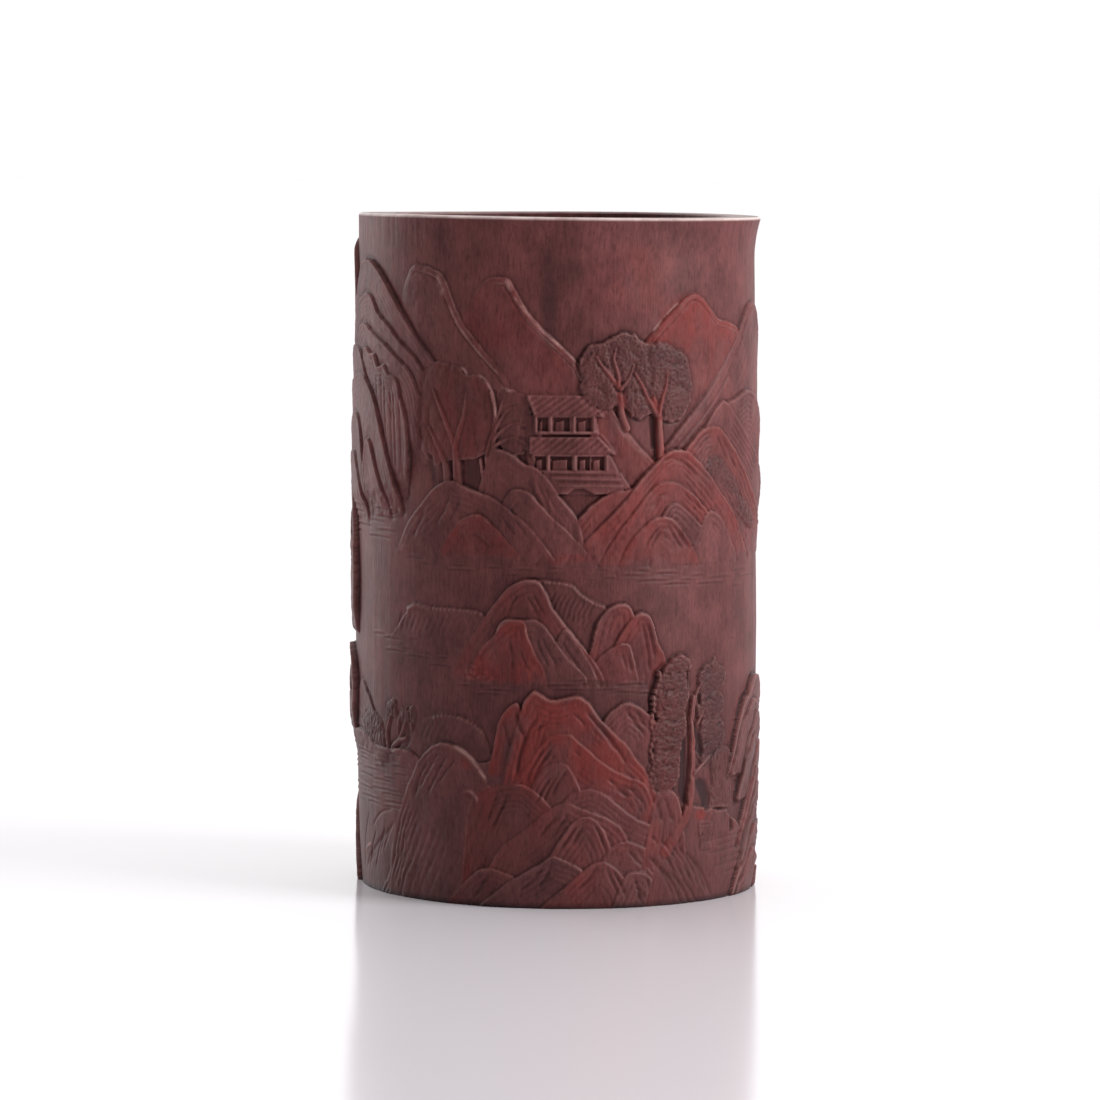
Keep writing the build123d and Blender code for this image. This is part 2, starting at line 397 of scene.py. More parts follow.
def beads(points, size, rise, count):
    """A row of small round bumps along a line, as for a distant row of trees."""
    line = smooth_line(points, 12)
    for share in np.linspace(0, 1, count):
        u, z = line[int(share * (len(line) - 1))]
        w = Window([(u / ARC, z)], 2.5 * size)
        d = np.hypot(w.u - u, (w.z - z) * 0.85)
        relief[w.cells] += rise * np.exp(-((d / size) ** 2))


def water(lines, rise=0.17, width=0.2):
    """Long level ripples, each (first angle, last angle, height)."""
    for a0, a1, h in lines:
        middle = (a0 + a1) / 2
        stroke([(a0, h), (middle, h + 0.18), (a1, h - 0.05)], width=width, rise=rise, taper=3.0)
        stroke([(a0, h - 0.5), (middle, h - 0.35), (a1, h - 0.55)], width=width, rise=-rise, taper=3.0)


def ripples(first, last, low, high, rows, seed):
    """A stretch of water filled with broken ripples."""
    draw = np.random.default_rng(seed)
    for h in np.linspace(low, high, rows):
        a = first + draw.uniform(0, 6)
        while a < last:
            length = draw.uniform(7, 18)
            water([(a, min(a + length, last), h + draw.uniform(-0.5, 0.5))])
            a += length + draw.uniform(1, 8)


LEAVES = dict(spacing=0.7, length=0.7, scatter=70, width=0.16, rise=-0.2, soot_and_shade=0.4, shadow=0.18, rim_wear_and_highlight=0.15)
NEEDLES = dict(spacing=0.9, length=1.2, scatter=30, width=0.15, rise=-0.22, soot_and_shade=0.45, shadow=0.2, rim_wear_and_highlight=0.2)
ROCK = dict(dip=0.45, reach=5, shadow=0.06, ribs=0.14, spacing=1.3, ribs_to=8, carry=0.9, settle=-0.9,
            rim_wear_and_highlight=0.6)


def nested(crest, level, foot, inner, style, red=0.0):
    """A hill with smaller hills in front of it, each a smaller copy of its crest, lower and to one side."""
    peak = max(crest, key=lambda point: point[1])
    for step in range(inner + 1):
        share = 1 - 0.23 * step
        aside = 3.5 * step * (-1) ** step
        mass([(peak[0] + aside + (a - peak[0]) * share, peak[1] - 5.5 * step + (h - peak[1]) * share)
              for a, h in crest], level + 0.1 * step, foot=foot - 0.3 * step, red=red, **style)


def crown(angle, height, wide, tall, level, seed, style):
    """A leafy crown: foliage cut to a lobed round outline."""
    lobes = 5 + seed % 3
    turns = np.arange(0, 2 * pi, pi / lobes)
    reach = [1.0 if count % 2 else 0.92 for count in range(len(turns))]
    foliage([(angle + wide * r * cos(turn) / ARC, height + tall * r * sin(turn)) for r,
             turn in zip(reach, turns)], level, seed, **style)


def tree(angle, base, tall, lean, seed):
    """A broad tree: a forked trunk with three crowns run together, like the great trees in front."""
    top = base + tall
    crown(angle + lean - 3.6, top - 4.6, 3.6, 4.2, -0.55, seed, LEAVES)
    crown(angle + lean + 3.8, top - 5, 3.8, 4.4, -0.5, seed + 1, LEAVES)
    crown(angle + lean, top - 1.6, 3.8, 4.0, -0.42, seed + 2, LEAVES)
    fork = (angle + 0.5 * lean, base + 0.55 * tall)
    branch([(angle, base), (angle - 0.3 * lean, base + 0.3 * tall), fork], -0.45, 1.0, 0.75, shadow=0.2,
           red=0.8)
    for side in (-3.6, 0.4, 3.8):
        branch([fork, (fork[0] + 0.6 * side, fork[1] + 0.2 * tall), (fork[0] + side, top - 3)], -0.35, 0.6,
               0.2, shadow=0.2, red=0.5)


def pine(angle, base, tall, lean, reach, seed):
    """An old pine: a bent trunk with flat clouds of needles at the ends of its boughs."""
    top = base + tall
    clouds = [(0.4, -1), (0.5, 1), (0.6, -1), (0.7, 1), (0.8, -1), (0.88, 1)]
    for count, (share, side) in enumerate(clouds):
        length = reach * (1.25 - share) * (1 + 0.2 * sin(seed + count))
        stem = angle + lean * (share - 0.45)
        tip = stem + side * length
        height = base + share * tall
        crown(tip - 0.3 * side * length, height + 1.8, 0.85 * length * ARC, 2.3, -0.6, seed + count, NEEDLES)
        branch([(stem, height - 2.2), (tip - 0.5 * side * length, height - 0.4), (tip, height + 0.6)], -0.5,
               0.5, 0.25, shadow=0.12)
    crown(angle + lean, top, 4.6, 3.0, -0.5, seed + 9, NEEDLES)
    branch([(angle, base), (angle + 0.8 * lean, base + 0.3 * tall), (angle - 0.3 * lean, base + 0.62 * tall),
            (angle + lean, top - 0.6)], -0.45, 1.2, 0.4, shadow=0.15, red=0.6)
    strokes([[(angle + 0.6, base + 2), (angle + 0.7 * lean + 0.4, base + 0.32 * tall)],
             [(angle - 0.4, base + 4), (angle + 0.6 * lean - 0.4, base + 0.36 * tall)]], width=0.28,
            rise=-0.18)


# ---------------------------------------------------------------- the carving, front: far hills
relief += 0.018 * noise(0.9, 30.0, 21) + 0.03 * noise(2.5, 50.0, 22) + 0.08 * noise(7.0, 10.0, 23)
FAR = dict(dip=0.3, reach=6, bevel=1.5, drop=0.35, notch=0.3, shadow=0.14, lean=0.09, rim_wear_and_highlight=1.3, carry=1.0)
mass([(-30, 128), (-27, 135.5), (-24, 139.5), (-20, 143.6), (-14, 143.9), (-12, 141.8), (-8, 136.4),
      (-3.5, 132.4), (2.5, 127.8), (6, 124.8), (10, 119)], -1.05, foot=112, red=0.35, **FAR)
mass([(-50, 137), (-48, 142), (-45.5, 145.7), (-42, 146.5), (-36, 145.3), (-33, 143.3), (-30.5, 138.8),
      (-27, 133.3), (-21.5, 128.3), (-16, 123.5), (-12, 119)], -1.1, foot=112, **FAR)
mass([(22, 126), (26, 130), (30, 133.4), (35, 137), (38.6, 139.6), (42, 140.6), (45.4, 139.8), (49, 137.2),
      (53, 134.6), (58, 133.8), (64, 132), (70, 128)], -1.0, foot=112, red=1.0,
     **dict(FAR, lean=0.0, rim_wear_and_highlight=0.7))
mass([(26, 101), (32, 106), (38, 111), (46, 117), (54, 123.5), (62, 130), (68, 135.5), (74, 138.2),
      (80, 137), (88, 131), (97, 124), (108, 113)], -0.8, foot=100, dip=0.45, reach=3.0, bevel=1.1,
     drop=0.4, notch=0.25, ribs=0.05, spacing=2.2, ribs_to=12)
stroke([(34, 104), (42, 110), (50, 116), (58, 122)], width=0.4)
stroke([(66, 131), (60, 125), (54, 119.5)], width=0.5)
worn_highlit_edge([(-35.6, 144.6), (-34.2, 142), (-32.8, 139.4)], width=0.6)
worn_highlit_edge([(-32, 138.4), (-28, 132.6), (-22, 126.8), (-16, 121.8)], width=0.2, rise=0.06)
worn_highlit_edge([(-14.4, 143.9), (-13.4, 142.4), (-12.4, 140.8)], width=0.5)
worn_highlit_edge([(-12, 140), (-9, 136.6), (-5, 132.8), (0, 129.2), (6, 124.8)], width=0.24, rise=0.06)
worn_highlit_edge([(27.6, 131.6), (32, 135.4), (37, 138.8)], width=0.24, rise=0.06)
strokes([[(-26.5, 145.2), (-26.6, 143)], [(-25.8, 145), (-26, 143.6)]], width=0.25, rise=-0.2, taper=0.4)

patch(38, 133, 9, 9, red=0.6)
patch(22, 142, 14, 12, red=0.3)
patch(-16, 132, 8, 8, red=0.3)
patch(-2, 139, 2.5, 17, soot_and_shade=0.6)
patch(3, 146, 6, 4, soot_and_shade=0.35)

# ---- left: peaks stacked one before the other, each lower and nearer
PEAK = dict(dip=0.45, reach=5, shadow=0.22, ribs=0.08, spacing=1.1, ribs_to=9, rim_wear_and_highlight=0.6, spill=0.9)
mass([(-120, 106), (-113, 120), (-107, 127), (-101, 140), (-96, 148), (-91, 151.8), (-87, 150.4), (-83, 145),
      (-79, 137), (-75, 131)], -0.55, foot=110, **PEAK)
mass([(-84, 132), (-78, 141.5), (-74, 146), (-70.5, 147.2), (-67, 147.2), (-62.5, 145.7), (-57, 142.4),
      (-49, 135.5), (-42, 129.5), (-37, 125), (-33, 120)], -0.75, foot=100, **PEAK)
mass([(-82, 130), (-77, 136.8), (-72.5, 138.7), (-69, 139.5), (-65, 138.7), (-60.5, 135), (-54.5, 132.2),
      (-49.5, 128.8), (-43, 125.2), (-38, 120)], -0.65, foot=100, **PEAK)
mass([(-80, 127), (-74.5, 131.5), (-70, 132.6), (-64.5, 130.8), (-57, 128.2), (-50, 124.8), (-45, 121.8),
      (-41.5, 117)], -0.55, foot=100, **PEAK)
mass([(-73, 118), (-71, 125), (-68.5, 127.1), (-65.5, 125.6), (-62.5, 125.4), (-60.2, 122.8), (-57, 123.2),
      (-54.5, 121), (-50.5, 120), (-49, 116), (-46.5, 111), (-45.6, 103), (-46.5, 95)], -0.5, foot=93,
     ribs=0.1, dip=0.35, reach=2.2, shadow=0.25, spill=0.9)
strokes([[(a, 121.5 - 0.5 * abs(a + 60)), (a + 0.6, 110), (a + 1.6, 99)]
         for a in (-66.2, -63.1, -61, -58.2, -56.4, -53.5, -52, -49.4)], width=0.4, rise=-0.13)
mass([(-92, 122), (-86, 126), (-79, 127.2), (-73, 125.6), (-69, 121), (-66, 115)], -0.4, foot=100, **PEAK)
mass([(-96, 108), (-88, 117), (-80, 119.8), (-72, 120.6), (-67, 119), (-62, 115), (-57, 106.5), (-51, 95.5),
      (-49, 91)], -0.3, foot=89, **PEAK)
mass([(-92, 104), (-86, 109), (-80, 111.5), (-75, 110.5), (-72, 107), (-70, 101), (-66, 94)], -0.2, foot=88,
     **PEAK)
mass([(-69, 100), (-67.5, 104.8), (-65.5, 105.8), (-63.5, 103.8), (-60, 98.5), (-55, 91.5)], -0.2, foot=88,
     **PEAK)
mass([(-96, 94), (-88, 101), (-80, 102.3), (-76, 99.5), (-73, 96.5), (-69, 91)], -0.1, foot=86, **PEAK)
ripples(-86, -50, 84, 90, 5, 31)

# ---- left grove
foliage([(-17, 117.5), (-15.5, 119.3), (-13, 118.8), (-11, 118.3), (-9, 117.3), (-7.2, 114.5), (-6.8, 110),
         (-7.6, 106), (-9.6, 104), (-12.6, 103.4), (-15.4, 105), (-17, 109)], -1.05, 43, spacing=2.4,
        length=3.0, bearing=60, scatter=20, rise=-0.08, soot_and_shade=0.15, shadow=0.12)
foliage([(-40.6, 121), (-39, 123), (-35, 124.4), (-31, 124), (-28.2, 123.3), (-26, 121.9), (-23.6, 122),
         (-21.4, 121.4), (-19.2, 119.4), (-17.6, 117.6), (-17, 114), (-17.6, 109), (-19.4, 104.4), (-22, 103),
         (-26, 102.4), (-31, 102), (-36, 101), (-40, 103.4), (-41.4, 108), (-41.6, 115)], -1.0, 41,
        spacing=2.4, length=3.4, bearing=82, scatter=14, rise=-0.08, red=0.3, soot_and_shade=0.15, shadow=0.12)
strokes([[(-36, 118.6), (-33.6, 114), (-31.4, 110)], [(-27.2, 122), (-26, 118.6), (-27, 114.6)],
         [(-23.2, 121.6), (-21.6, 118), (-22, 114)], [(-38.8, 115), (-37.4, 110), (-36, 106)],
         [(-24.6, 113), (-23, 109), (-23.4, 105)], [(-20, 116), (-19.4, 112), (-20.6, 108)]], width=0.6,
        rise=-0.12)
# the pits between the trunks are darkened as painted shade
pit([(-26.4, 101.8), (-22.6, 101.8), (-22, 98.6), (-23.4, 95.4), (-25.6, 96.3)], 1.75, 0.8, 0.5)
pit([(-38.2, 103.5), (-36.8, 103), (-35.4, 97), (-36.6, 96.6), (-38.6, 100.5)], 1.75, 0.8, 0.5)
branch([(-28.4, 96), (-28.8, 101), (-29.4, 105.6), (-31.5, 109.6), (-34.5, 114.6), (-36.5, 118)], -0.8,
       1.2, 0.3, shadow=0.15, red=0.4)
branch([(-29.3, 105), (-27.8, 109.5), (-26.4, 113), (-25.8, 118)], -0.85, 0.8, 0.2, shadow=0.12, red=0.3)
branch([(-31.6, 97), (-32.4, 101), (-34.6, 105), (-38, 109.5)], -0.85, 1.1, 0.3, shadow=0.15)
branch([(-17.4, 94.2), (-18.4, 98.5), (-19.2, 102.5), (-18.6, 106), (-17.3, 110), (-17.2, 114), (-18.4, 118)],
       -0.7, 1.1, 0.3, shadow=0.2)
for tip, height in ((-14.8, 116.4), (-11.4, 114.6), (-8.6, 110.6), (-8.4, 106.4)):
    branch([(-18.4, 103.8), (-17, 0.45 * height + 58), (0.5 * tip - 8, 0.75 * height + 28), (tip, height)],
           -0.95, 0.6, 0.25, shadow=0.12)
strokes([[(-10.6, 109.8), (-8.6, 110), (-7, 109.6)], [(-11, 107.6), (-9, 107.8), (-7.2, 107.4)],
         [(-10, 105.2), (-8.4, 105), (-7.4, 104.4)]], width=0.4, rise=-0.3, taper=0.8)
worn_highlit_edge([(-28, 123.4), (-26.4, 123), (-25.4, 121.4)])
worn_highlit_edge([(-22.6, 122), (-20.4, 121), (-18.6, 118.8), (-17.4, 116), (-16.8, 112)], width=0.25)
worn_highlit_edge([(-14.6, 119.4), (-13.4, 118.4), (-11, 118.4)], width=0.25)
worn_highlit_edge([(-8.6, 117.4), (-7, 115.4), (-6.4, 113.6)], width=0.25)
branch([(-19.6, 95), (-20.6, 99), (-21.4, 102.6)], -0.8, 0.7, 0.4, shadow=0.15)

# ---- the pavilion and its terrace, in front of a bank
mass([(8.4, 98), (9, 108), (11, 114.2), (14, 115.6), (17, 113), (20, 109.4), (24.4, 105.4), (28, 102.6),
      (33, 98)], -0.95, foot=95, dip=0.25, bevel=0.9, drop=0.25, notch=0.16, red=0.5)
slab([(-8.6, 113), (-4, 113), (-4, 100), (-8, 100)], -1.15, shadow=0.05)
slab([(-8.2, 117.4), (8.4, 117.4), (13.4, 112.4), (11.2, 112.8), (-6.2, 112.8)], -0.45, slope=0.05,
     hatch=(35, 1.25, 0.24))
stroke([(-8.6, 117.9), (-6.6, 115.2), (-5.9, 113)], width=0.35, rise=0.25, taper=0.6)
stroke([(-7.8, 117.5), (0, 117.6), (8.4, 117.3)], width=0.32, rise=0.22, taper=0.5)
stroke([(8.3, 117.3), (10.8, 115.2), (13.3, 112.6)], width=0.35, rise=0.25, taper=0.5)
slab([(-5.9, 113), (10.8, 113), (11.8, 108.6), (-5.9, 108.4)], -0.85)
for left, right in ((-5.2, -2.4), (-0.9, 3.6), (5.4, 9.6)):
    pit([(left, 112.4), (right, 112.4), (right, 109.4), (left, 109.4)], 1.75)
    slab([(left + 0.5, 111.4), (right - 1.5, 111.8), (right - 1.6, 109.4), (left + 0.4, 109.4)], -1.25,
         shadow=0)
strokes([[(a, 112.8), (a, 109)] for a in (-5.8, -1.6, 4.8, 10.3)], width=0.32, rise=0.35, taper=0.3)
strokes([[(-5, 109), (11.6, 109.1)], [(-5.4, 108.2), (11.8, 108.3)]], width=0.26, rise=0.3, taper=0.6)
slab([(-7.4, 108), (11.6, 108.1), (16.6, 104), (14.5, 104.3), (-7.4, 104.2)], -0.4, slope=0.05,
     hatch=(38, 1.25, 0.24))
strokes([[(11.6, 109), (14.2, 106.6), (16.6, 104.1)], [(10.9, 108.2), (13, 106.3), (15, 104.4)]], width=0.3,
        rise=0.25, taper=0.5)
slab([(-7, 104.3), (14.6, 104.3), (17.5, 100), (-5, 100)], -0.8)
for left, right in ((-5.9, -2.8), (-1.6, 4.2), (5.8, 9.2), (9.6, 13.2)):
    pit([(left, 103.6), (right, 103.6), (right, 100.6), (left, 100.6)], 1.75)
    slab([(left + 0.4, 102.7), (right - 1.1, 103), (right - 1.2, 100.6), (left + 0.4, 100.6)], -1.1, shadow=0)
strokes([[(a, 104), (a, 100.4)] for a in (-2.2, 5, 13.9)], width=0.34, rise=0.35, taper=0.3)
slab([(-4, 100.1), (18, 99.9), (21, 96.4), (14, 95), (0, 95)], -0.8, shadow=0.1)
strokes([[(-4.5, 100.2), (17.5, 100)], [(-2, 98.8), (8, 98.6), (18.5, 98.3)],
         [(0, 97.1), (10, 97), (19, 96.8)]], width=0.26, rise=0.28, taper=1.2)
strokes([[(-3, 99.5), (17, 99.3)], [(-1, 98), (18, 97.6)]], width=0.26, rise=-0.28, taper=1.2)
pit([(2.4, 93.6), (3.4, 95.3), (5, 96.3), (7.4, 96.4), (9.8, 95.4), (11.6, 94.2), (8, 92), (5, 90.5)], 1.55,
    0.4)

# ---- the great trees beside the pavilion
foliage([(7.4, 117.4), (6.4, 121), (6.6, 125.6), (8, 128.2), (10.6, 129.4), (13, 129.4), (15, 130.6),
         (18, 131.6), (21.4, 131.4), (24, 130.2), (26, 129.4), (28.4, 129.5), (31.6, 129.2), (34.6, 127.8),
         (37.6, 127), (39.8, 124), (40.8, 120), (40.2, 116), (38, 113), (35, 111.4), (31.6, 111.6),
         (29.6, 113.4), (27, 113.2), (24.6, 112), (21.6, 112.4), (19.6, 114.2), (17, 115), (14, 114.2),
         (10.6, 115.4)], -0.5, 51, **LEAVES)
strokes([[(15.2, 130), (14.6, 127), (15.4, 124), (17.6, 121.4)],
         [(26.6, 129.6), (26, 126), (27, 122.6), (26.4, 118)], [(9, 120), (12, 119), (14.4, 116.6)],
         [(9.4, 125), (12.4, 124.6), (14.6, 122.4)], [(20, 128), (22.6, 126.6), (25, 126.8)],
         [(20, 117), (22.6, 118.4), (25, 117)], [(30, 126), (33, 124.4), (36.6, 125)],
         [(33, 119), (36, 119.6), (38.6, 118)]], width=0.6, rise=-0.25)
branch([(19.8, 110), (18.4, 113), (17.8, 117), (17.2, 120)], -0.6, 0.85, 0.75, shadow=0.2, red=1.0)
branch([(17.4, 119.4), (15, 121.8), (12.4, 124.4), (10.8, 126.5)], -0.4, 0.7, 0.2, shadow=0.25, red=0.7)
branch([(17.4, 119.4), (17, 122.5), (15.8, 125.8), (16.4, 128)], -0.4, 0.6, 0.2, shadow=0.25, red=0.5)
branch([(18, 119), (20.5, 121.8), (21.6, 124.5)], -0.4, 0.5, 0.2, shadow=0.25)
branch([(30.2, 103.4), (29.8, 109), (29.4, 113), (27.6, 116.6)], -0.45, 0.9, 0.7, shadow=0.2, red=1.0)
branch([(29, 113), (26, 116.6), (24.2, 119.6), (22, 122.5)], -0.35, 0.65, 0.25, shadow=0.25, red=0.6)
branch([(29.4, 113), (30.4, 116.8), (31.6, 119.8), (32, 123)], -0.35, 0.65, 0.25, shadow=0.25, red=0.8)
patch(18.6, 114.6, 1.3, 4.4, red=1.0)
patch(29.6, 109.6, 1.3, 5.4, red=1.0)
pit([(27, 112.4), (28.6, 112), (28.8, 105.6), (27.6, 105.2)], 2.05, 0.7, 0.7)
stroke([(6.2, 127), (5.4, 123), (6, 118.4), (9, 115.4), (13, 113.6)], width=0.6, rise=-0.2)

# ---- right: ridges nested one inside another
RIDGE = dict(dip=0.5, reach=4, shadow=0.18, ribs=0.24, spacing=1.25, ribs_to=13, rim_wear_and_highlight=0.8, fade=15, carry=0.8)
mass([(48, 110), (54, 114.5), (60, 116), (68, 117.8), (74, 117), (80, 114.5), (88, 110), (98, 99), (104, 88)],
     -0.55, foot=80, **RIDGE)
mass([(44, 108), (48, 112.4), (51.5, 115), (54.5, 115.7), (60, 112.5), (66, 108.5), (72, 104.8), (80, 100.6),
      (90, 94), (98, 86)], -0.45, foot=80, **RIDGE)
mass([(36, 103), (40, 106.5), (44, 109.3), (48, 110), (52, 109.4), (58, 105.4), (64, 100.6), (70, 95.6),
      (78, 90.4), (88, 84)], -0.35, foot=79, red=0.4, **RIDGE)
SCRUB = dict(spacing=0.9, length=0.8, scatter=70, width=0.18, rise=-0.2, soot_and_shade=0.35, shadow=0.1, rim_wear_and_highlight=0.1)
foliage([(46, 101.6), (48.6, 103.6), (52, 103), (56, 100.4), (61, 96.6), (62, 94), (57, 95), (52, 97),
         (48, 98.6)], -0.6, 61, **SCRUB)
foliage([(60, 94.6), (64, 93.6), (69, 91), (74, 88), (73, 85.6), (68, 86.6), (62, 89.6)], -0.6, 63, **SCRUB)
mass([(-3, 81.4), (1, 84.4), (6, 89.4), (10, 92.8), (15, 95.2), (22, 96.4), (28, 97)], -0.55, foot=79,
     red=0.5, **RIDGE)
mass([(4, 80.6), (10, 86), (16, 91), (20, 94.6), (24, 98.8), (28.5, 102.2), (32, 104.5), (36, 105),
      (40, 104), (45, 100.6), (51, 95.6), (57, 91), (62, 87), (68, 82)], -0.25, foot=79, red=0.6, **RIDGE)
mass([(14, 82), (18, 87.2), (22, 91.4), (25.5, 95), (28.5, 97), (32, 97.7), (36, 97.2), (41, 94.4),
      (46, 91), (52, 86), (56, 82)], -0.25, foot=78.5, red=0.5, **RIDGE)
mass([(29, 86), (31, 91), (34, 92.7), (37, 91.8), (41, 89.4), (46, 86), (50, 82.6)], -0.3, foot=78.5, **RIDGE)
mass([(44, 87), (46.5, 90.2), (49, 90.4), (53, 88.4), (57, 85), (61, 81)], -0.3, foot=78.5, **RIDGE)
mass([(18.5, 80.5), (21, 84.4), (25, 87.8), (28.5, 89.6), (32.5, 89.5), (36, 87.4), (39.5, 84.4), (43, 80.6)],
     -0.15, foot=78.5, red=0.5, **RIDGE)
strokes([[(30, 102.6), (34, 103), (38, 101.6)], [(35, 103.4), (38.5, 101.6), (42, 98.6), (44, 97)],
         [(27.5, 93), (29.5, 94.6), (32, 95)], [(26, 91.5), (28.6, 93.4), (30, 94.3)],
         [(37, 95.6), (40, 93), (42, 90.6)], [(38.5, 95.8), (41.5, 93), (44, 90.4)]], width=0.36, rise=-0.3)
strokes([[(29.5, 87.6), (27, 85), (25, 82.6)], [(30.4, 87), (28.4, 84.4), (26.6, 82.4)],
         [(31.6, 88.4), (34.5, 85.4), (37.4, 82)], [(33.4, 88.4), (36.4, 85.6), (39.6, 82)],
         [(35.4, 87.2), (38.4, 84.2), (41, 81.4)]], width=0.36, rise=-0.34)
strokes([[(47, 109), (44, 107), (41, 105)], [(48, 108.4), (45.4, 106.6), (42.6, 105)],
         [(50, 108.4), (53, 105), (55.6, 101.6)], [(52, 108.2), (55.4, 105), (58.4, 101)],
         [(54.4, 106.8), (57.4, 103.6), (60.2, 99.4)]], width=0.4, rise=-0.34)

# ---- middle: low hills under the grove, down to the lake
HILL = dict(dip=0.6, reach=5, shadow=0.15, ribs=0.14, spacing=1.4, ribs_to=9, fade=14, carry=0.8, rim_wear_and_highlight=0.8)
mass([(-22, 96), (-18, 104.6), (-13, 104.2), (-9, 102), (-5.5, 101), (-2, 98), (1.5, 94), (5.6, 89.8),
      (7, 86)], -0.6, foot=80.5, lean=0.1, **HILL)
mass([(-17, 90), (-13, 95.2), (-10, 96.1), (-7, 95), (-4, 92.2), (-0.5, 89.2), (3.4, 86.4)], -0.5,
     foot=80.5, lean=0.07, **HILL)
mass([(-50, 82), (-46.5, 87), (-42, 90.8), (-38, 94.2), (-34, 96.6), (-30.5, 97.6), (-26, 96.4),
      (-20, 94.6), (-16.5, 93.5), (-12, 90.6), (-8, 88), (-4.6, 84.6), (-2, 82)], -0.5, foot=80, red=0.1,
     lean=0.07, **HILL)
mass([(-32, 84), (-28, 88), (-24.5, 89.7), (-21, 89.9), (-17, 87.2), (-13.5, 84), (-10.4, 81)], -0.3, foot=80,
     red=0.5, lean=0.06, **HILL)
strokes([[(-8, 99), (-6, 95), (-3.6, 92)], [(-5.6, 98.4), (-3.4, 94.6), (-1.6, 90.4)],
         [(-4, 97.6), (-1.6, 94), (0.6, 90.6)], [(-13, 92.4), (-10.6, 88.6), (-7.6, 85)],
         [(-16, 91.4), (-13.6, 88), (-11, 85.4)], [(-30, 95), (-33, 90.5), (-36, 87)],
         [(-27, 94.6), (-28.4, 91.6), (-31, 88)], [(-39, 91), (-42, 87), (-44.6, 83.6)],
         [(-24, 86), (-21, 84.4), (-18.6, 82.4)]], width=0.42, rise=-0.24)

# ---- the lake's ripples
water([(-49, -45, 81.4), (-48, -38.6, 79.7), (-42, -36, 78.5), (-31, -25, 78.6), (-33, -22, 77.6),
       (-21, -14.4, 78.4), (-24, -20, 76.8), (-13, -4.6, 78), (-15, -9, 76.8), (-4, 2, 78.5),
       (-3.6, 2.4, 77.4), (-8, -4, 75.9), (5, 9.4, 78.9), (5.6, 10, 77), (10, 15, 78.1), (11.6, 18, 76.2),
       (17, 25.6, 76.7), (22, 27.4, 77.7), (22, 34, 75.4), (27.6, 37, 77), (30, 42, 74.5), (36, 43, 75.2),
       (40, 47, 76.1), (42, 56, 74.2), (47, 60, 75.4), (58, 70, 76.6), (58, 66, 73), (62, 78, 75),
       (7, 12, 75.8)])

# ---- middle: the islands
ISLE = dict(HILL, ribs_to=6, rim_wear_and_highlight=1.0)
TREELINE = dict(dip=0.25, reach=3, bevel=0.5, drop=0.1, shadow=0.15, rim_wear_and_highlight=0.2, carry=1.0)
mass([(-54, 60), (-50, 63.6), (-46, 67), (-42, 68.6), (-36, 68.2), (-28, 68.2), (-21, 67.6), (-18, 64)],
     -1.4, foot=58, lean=0.02, **TREELINE)
beads([(-46, 67.2), (-42, 68.4), (-36, 67.9), (-28, 67.9), (-21, 67.4)], 0.42, 0.42, 23)
strokes([[(a, 67), (a - 1.6, 64.4), (a - 3, 61.8)] for a in range(-48, -20, 2)], width=0.3, rise=-0.1)
mass([(-8, 75), (-4, 75.4), (0, 75.1), (4, 74.5), (6, 72.9), (8.4, 71.4), (11, 70.2), (14, 69), (16, 64)],
     -1.2, foot=60, **dict(TREELINE, carry=0.4))
beads([(-3, 74.9), (1, 74.7), (4.4, 74), (7, 71.8), (10, 70.4), (13, 69.4)], 0.4, 0.34, 17)
strokes([[(a, 73.6 - 0.3 * a), (a - 1.8, 71 - 0.3 * a), (a - 2.6, 68.6 - 0.3 * a)]
         for a in (0.4, 1.7, 3, 4.3, 5.6, 6.9, 8.2, 9.5, 10.8)], width=0.28, rise=-0.17)
strokes([[(a, 69.6 - 0.3 * a), (a - 1.6, 67.4 - 0.3 * a)] for a in (4, 5.4, 6.8, 8.2, 9.6, 11)], width=0.28,
        rise=-0.16, taper=1)
mass([(9, 58), (11, 65), (13, 68), (15.5, 69.6), (18.4, 70.1), (20.6, 69.3), (22, 67), (24, 60)], -0.55,
     foot=51.6, red=0.4, **ISLE)
mass([(15, 58), (17.4, 62.6), (20.4, 66), (23, 67.8), (26, 67.4), (27.6, 65.2), (29, 61.6), (31.6, 57.6),
      (34, 53), (35, 51)], -0.45, foot=51.6, red=0.5, **ISLE)
mass([(9, 54), (11.4, 57.4), (15, 59.8), (18.4, 60.9), (20.6, 60.5), (22, 57.4), (23.4, 53)], -0.35,
     foot=51.6, red=0.4, **ISLE)
mass([(-31, 51.6), (-28.4, 56.2), (-24, 61.6), (-20.6, 66), (-16, 71), (-12.5, 74), (-8.6, 75.4), (-5, 75.2),
      (-2.8, 72.8), (-0.8, 69), (1.6, 66.2), (5.4, 62.4), (9, 58.6), (12.4, 54.6), (14, 51.6)], -0.45,
     foot=51.4, red=0.35, lean=0.07, **ISLE)
mass([(1, 63), (2.6, 64.4), (5.6, 61.4), (8.6, 57.6), (11, 54)], -0.4, foot=51.4, **ISLE)
mass([(-18, 60), (-16, 64.6), (-13.6, 66.4), (-9, 66.2), (-5.4, 66.4), (-2.2, 64), (0.2, 61), (3.4, 57.4),
      (7.2, 54.4), (9, 52)], -0.3, foot=51.2, **ISLE)
mass([(-25, 54), (-21.4, 58.8), (-17, 62.8), (-13, 65.6), (-8.8, 66), (-7.6, 62.6), (-6, 59), (-3.8, 55.6),
      (-2.2, 51.6)], -0.35, foot=51, red=1.0, lean=0.08, **ISLE)
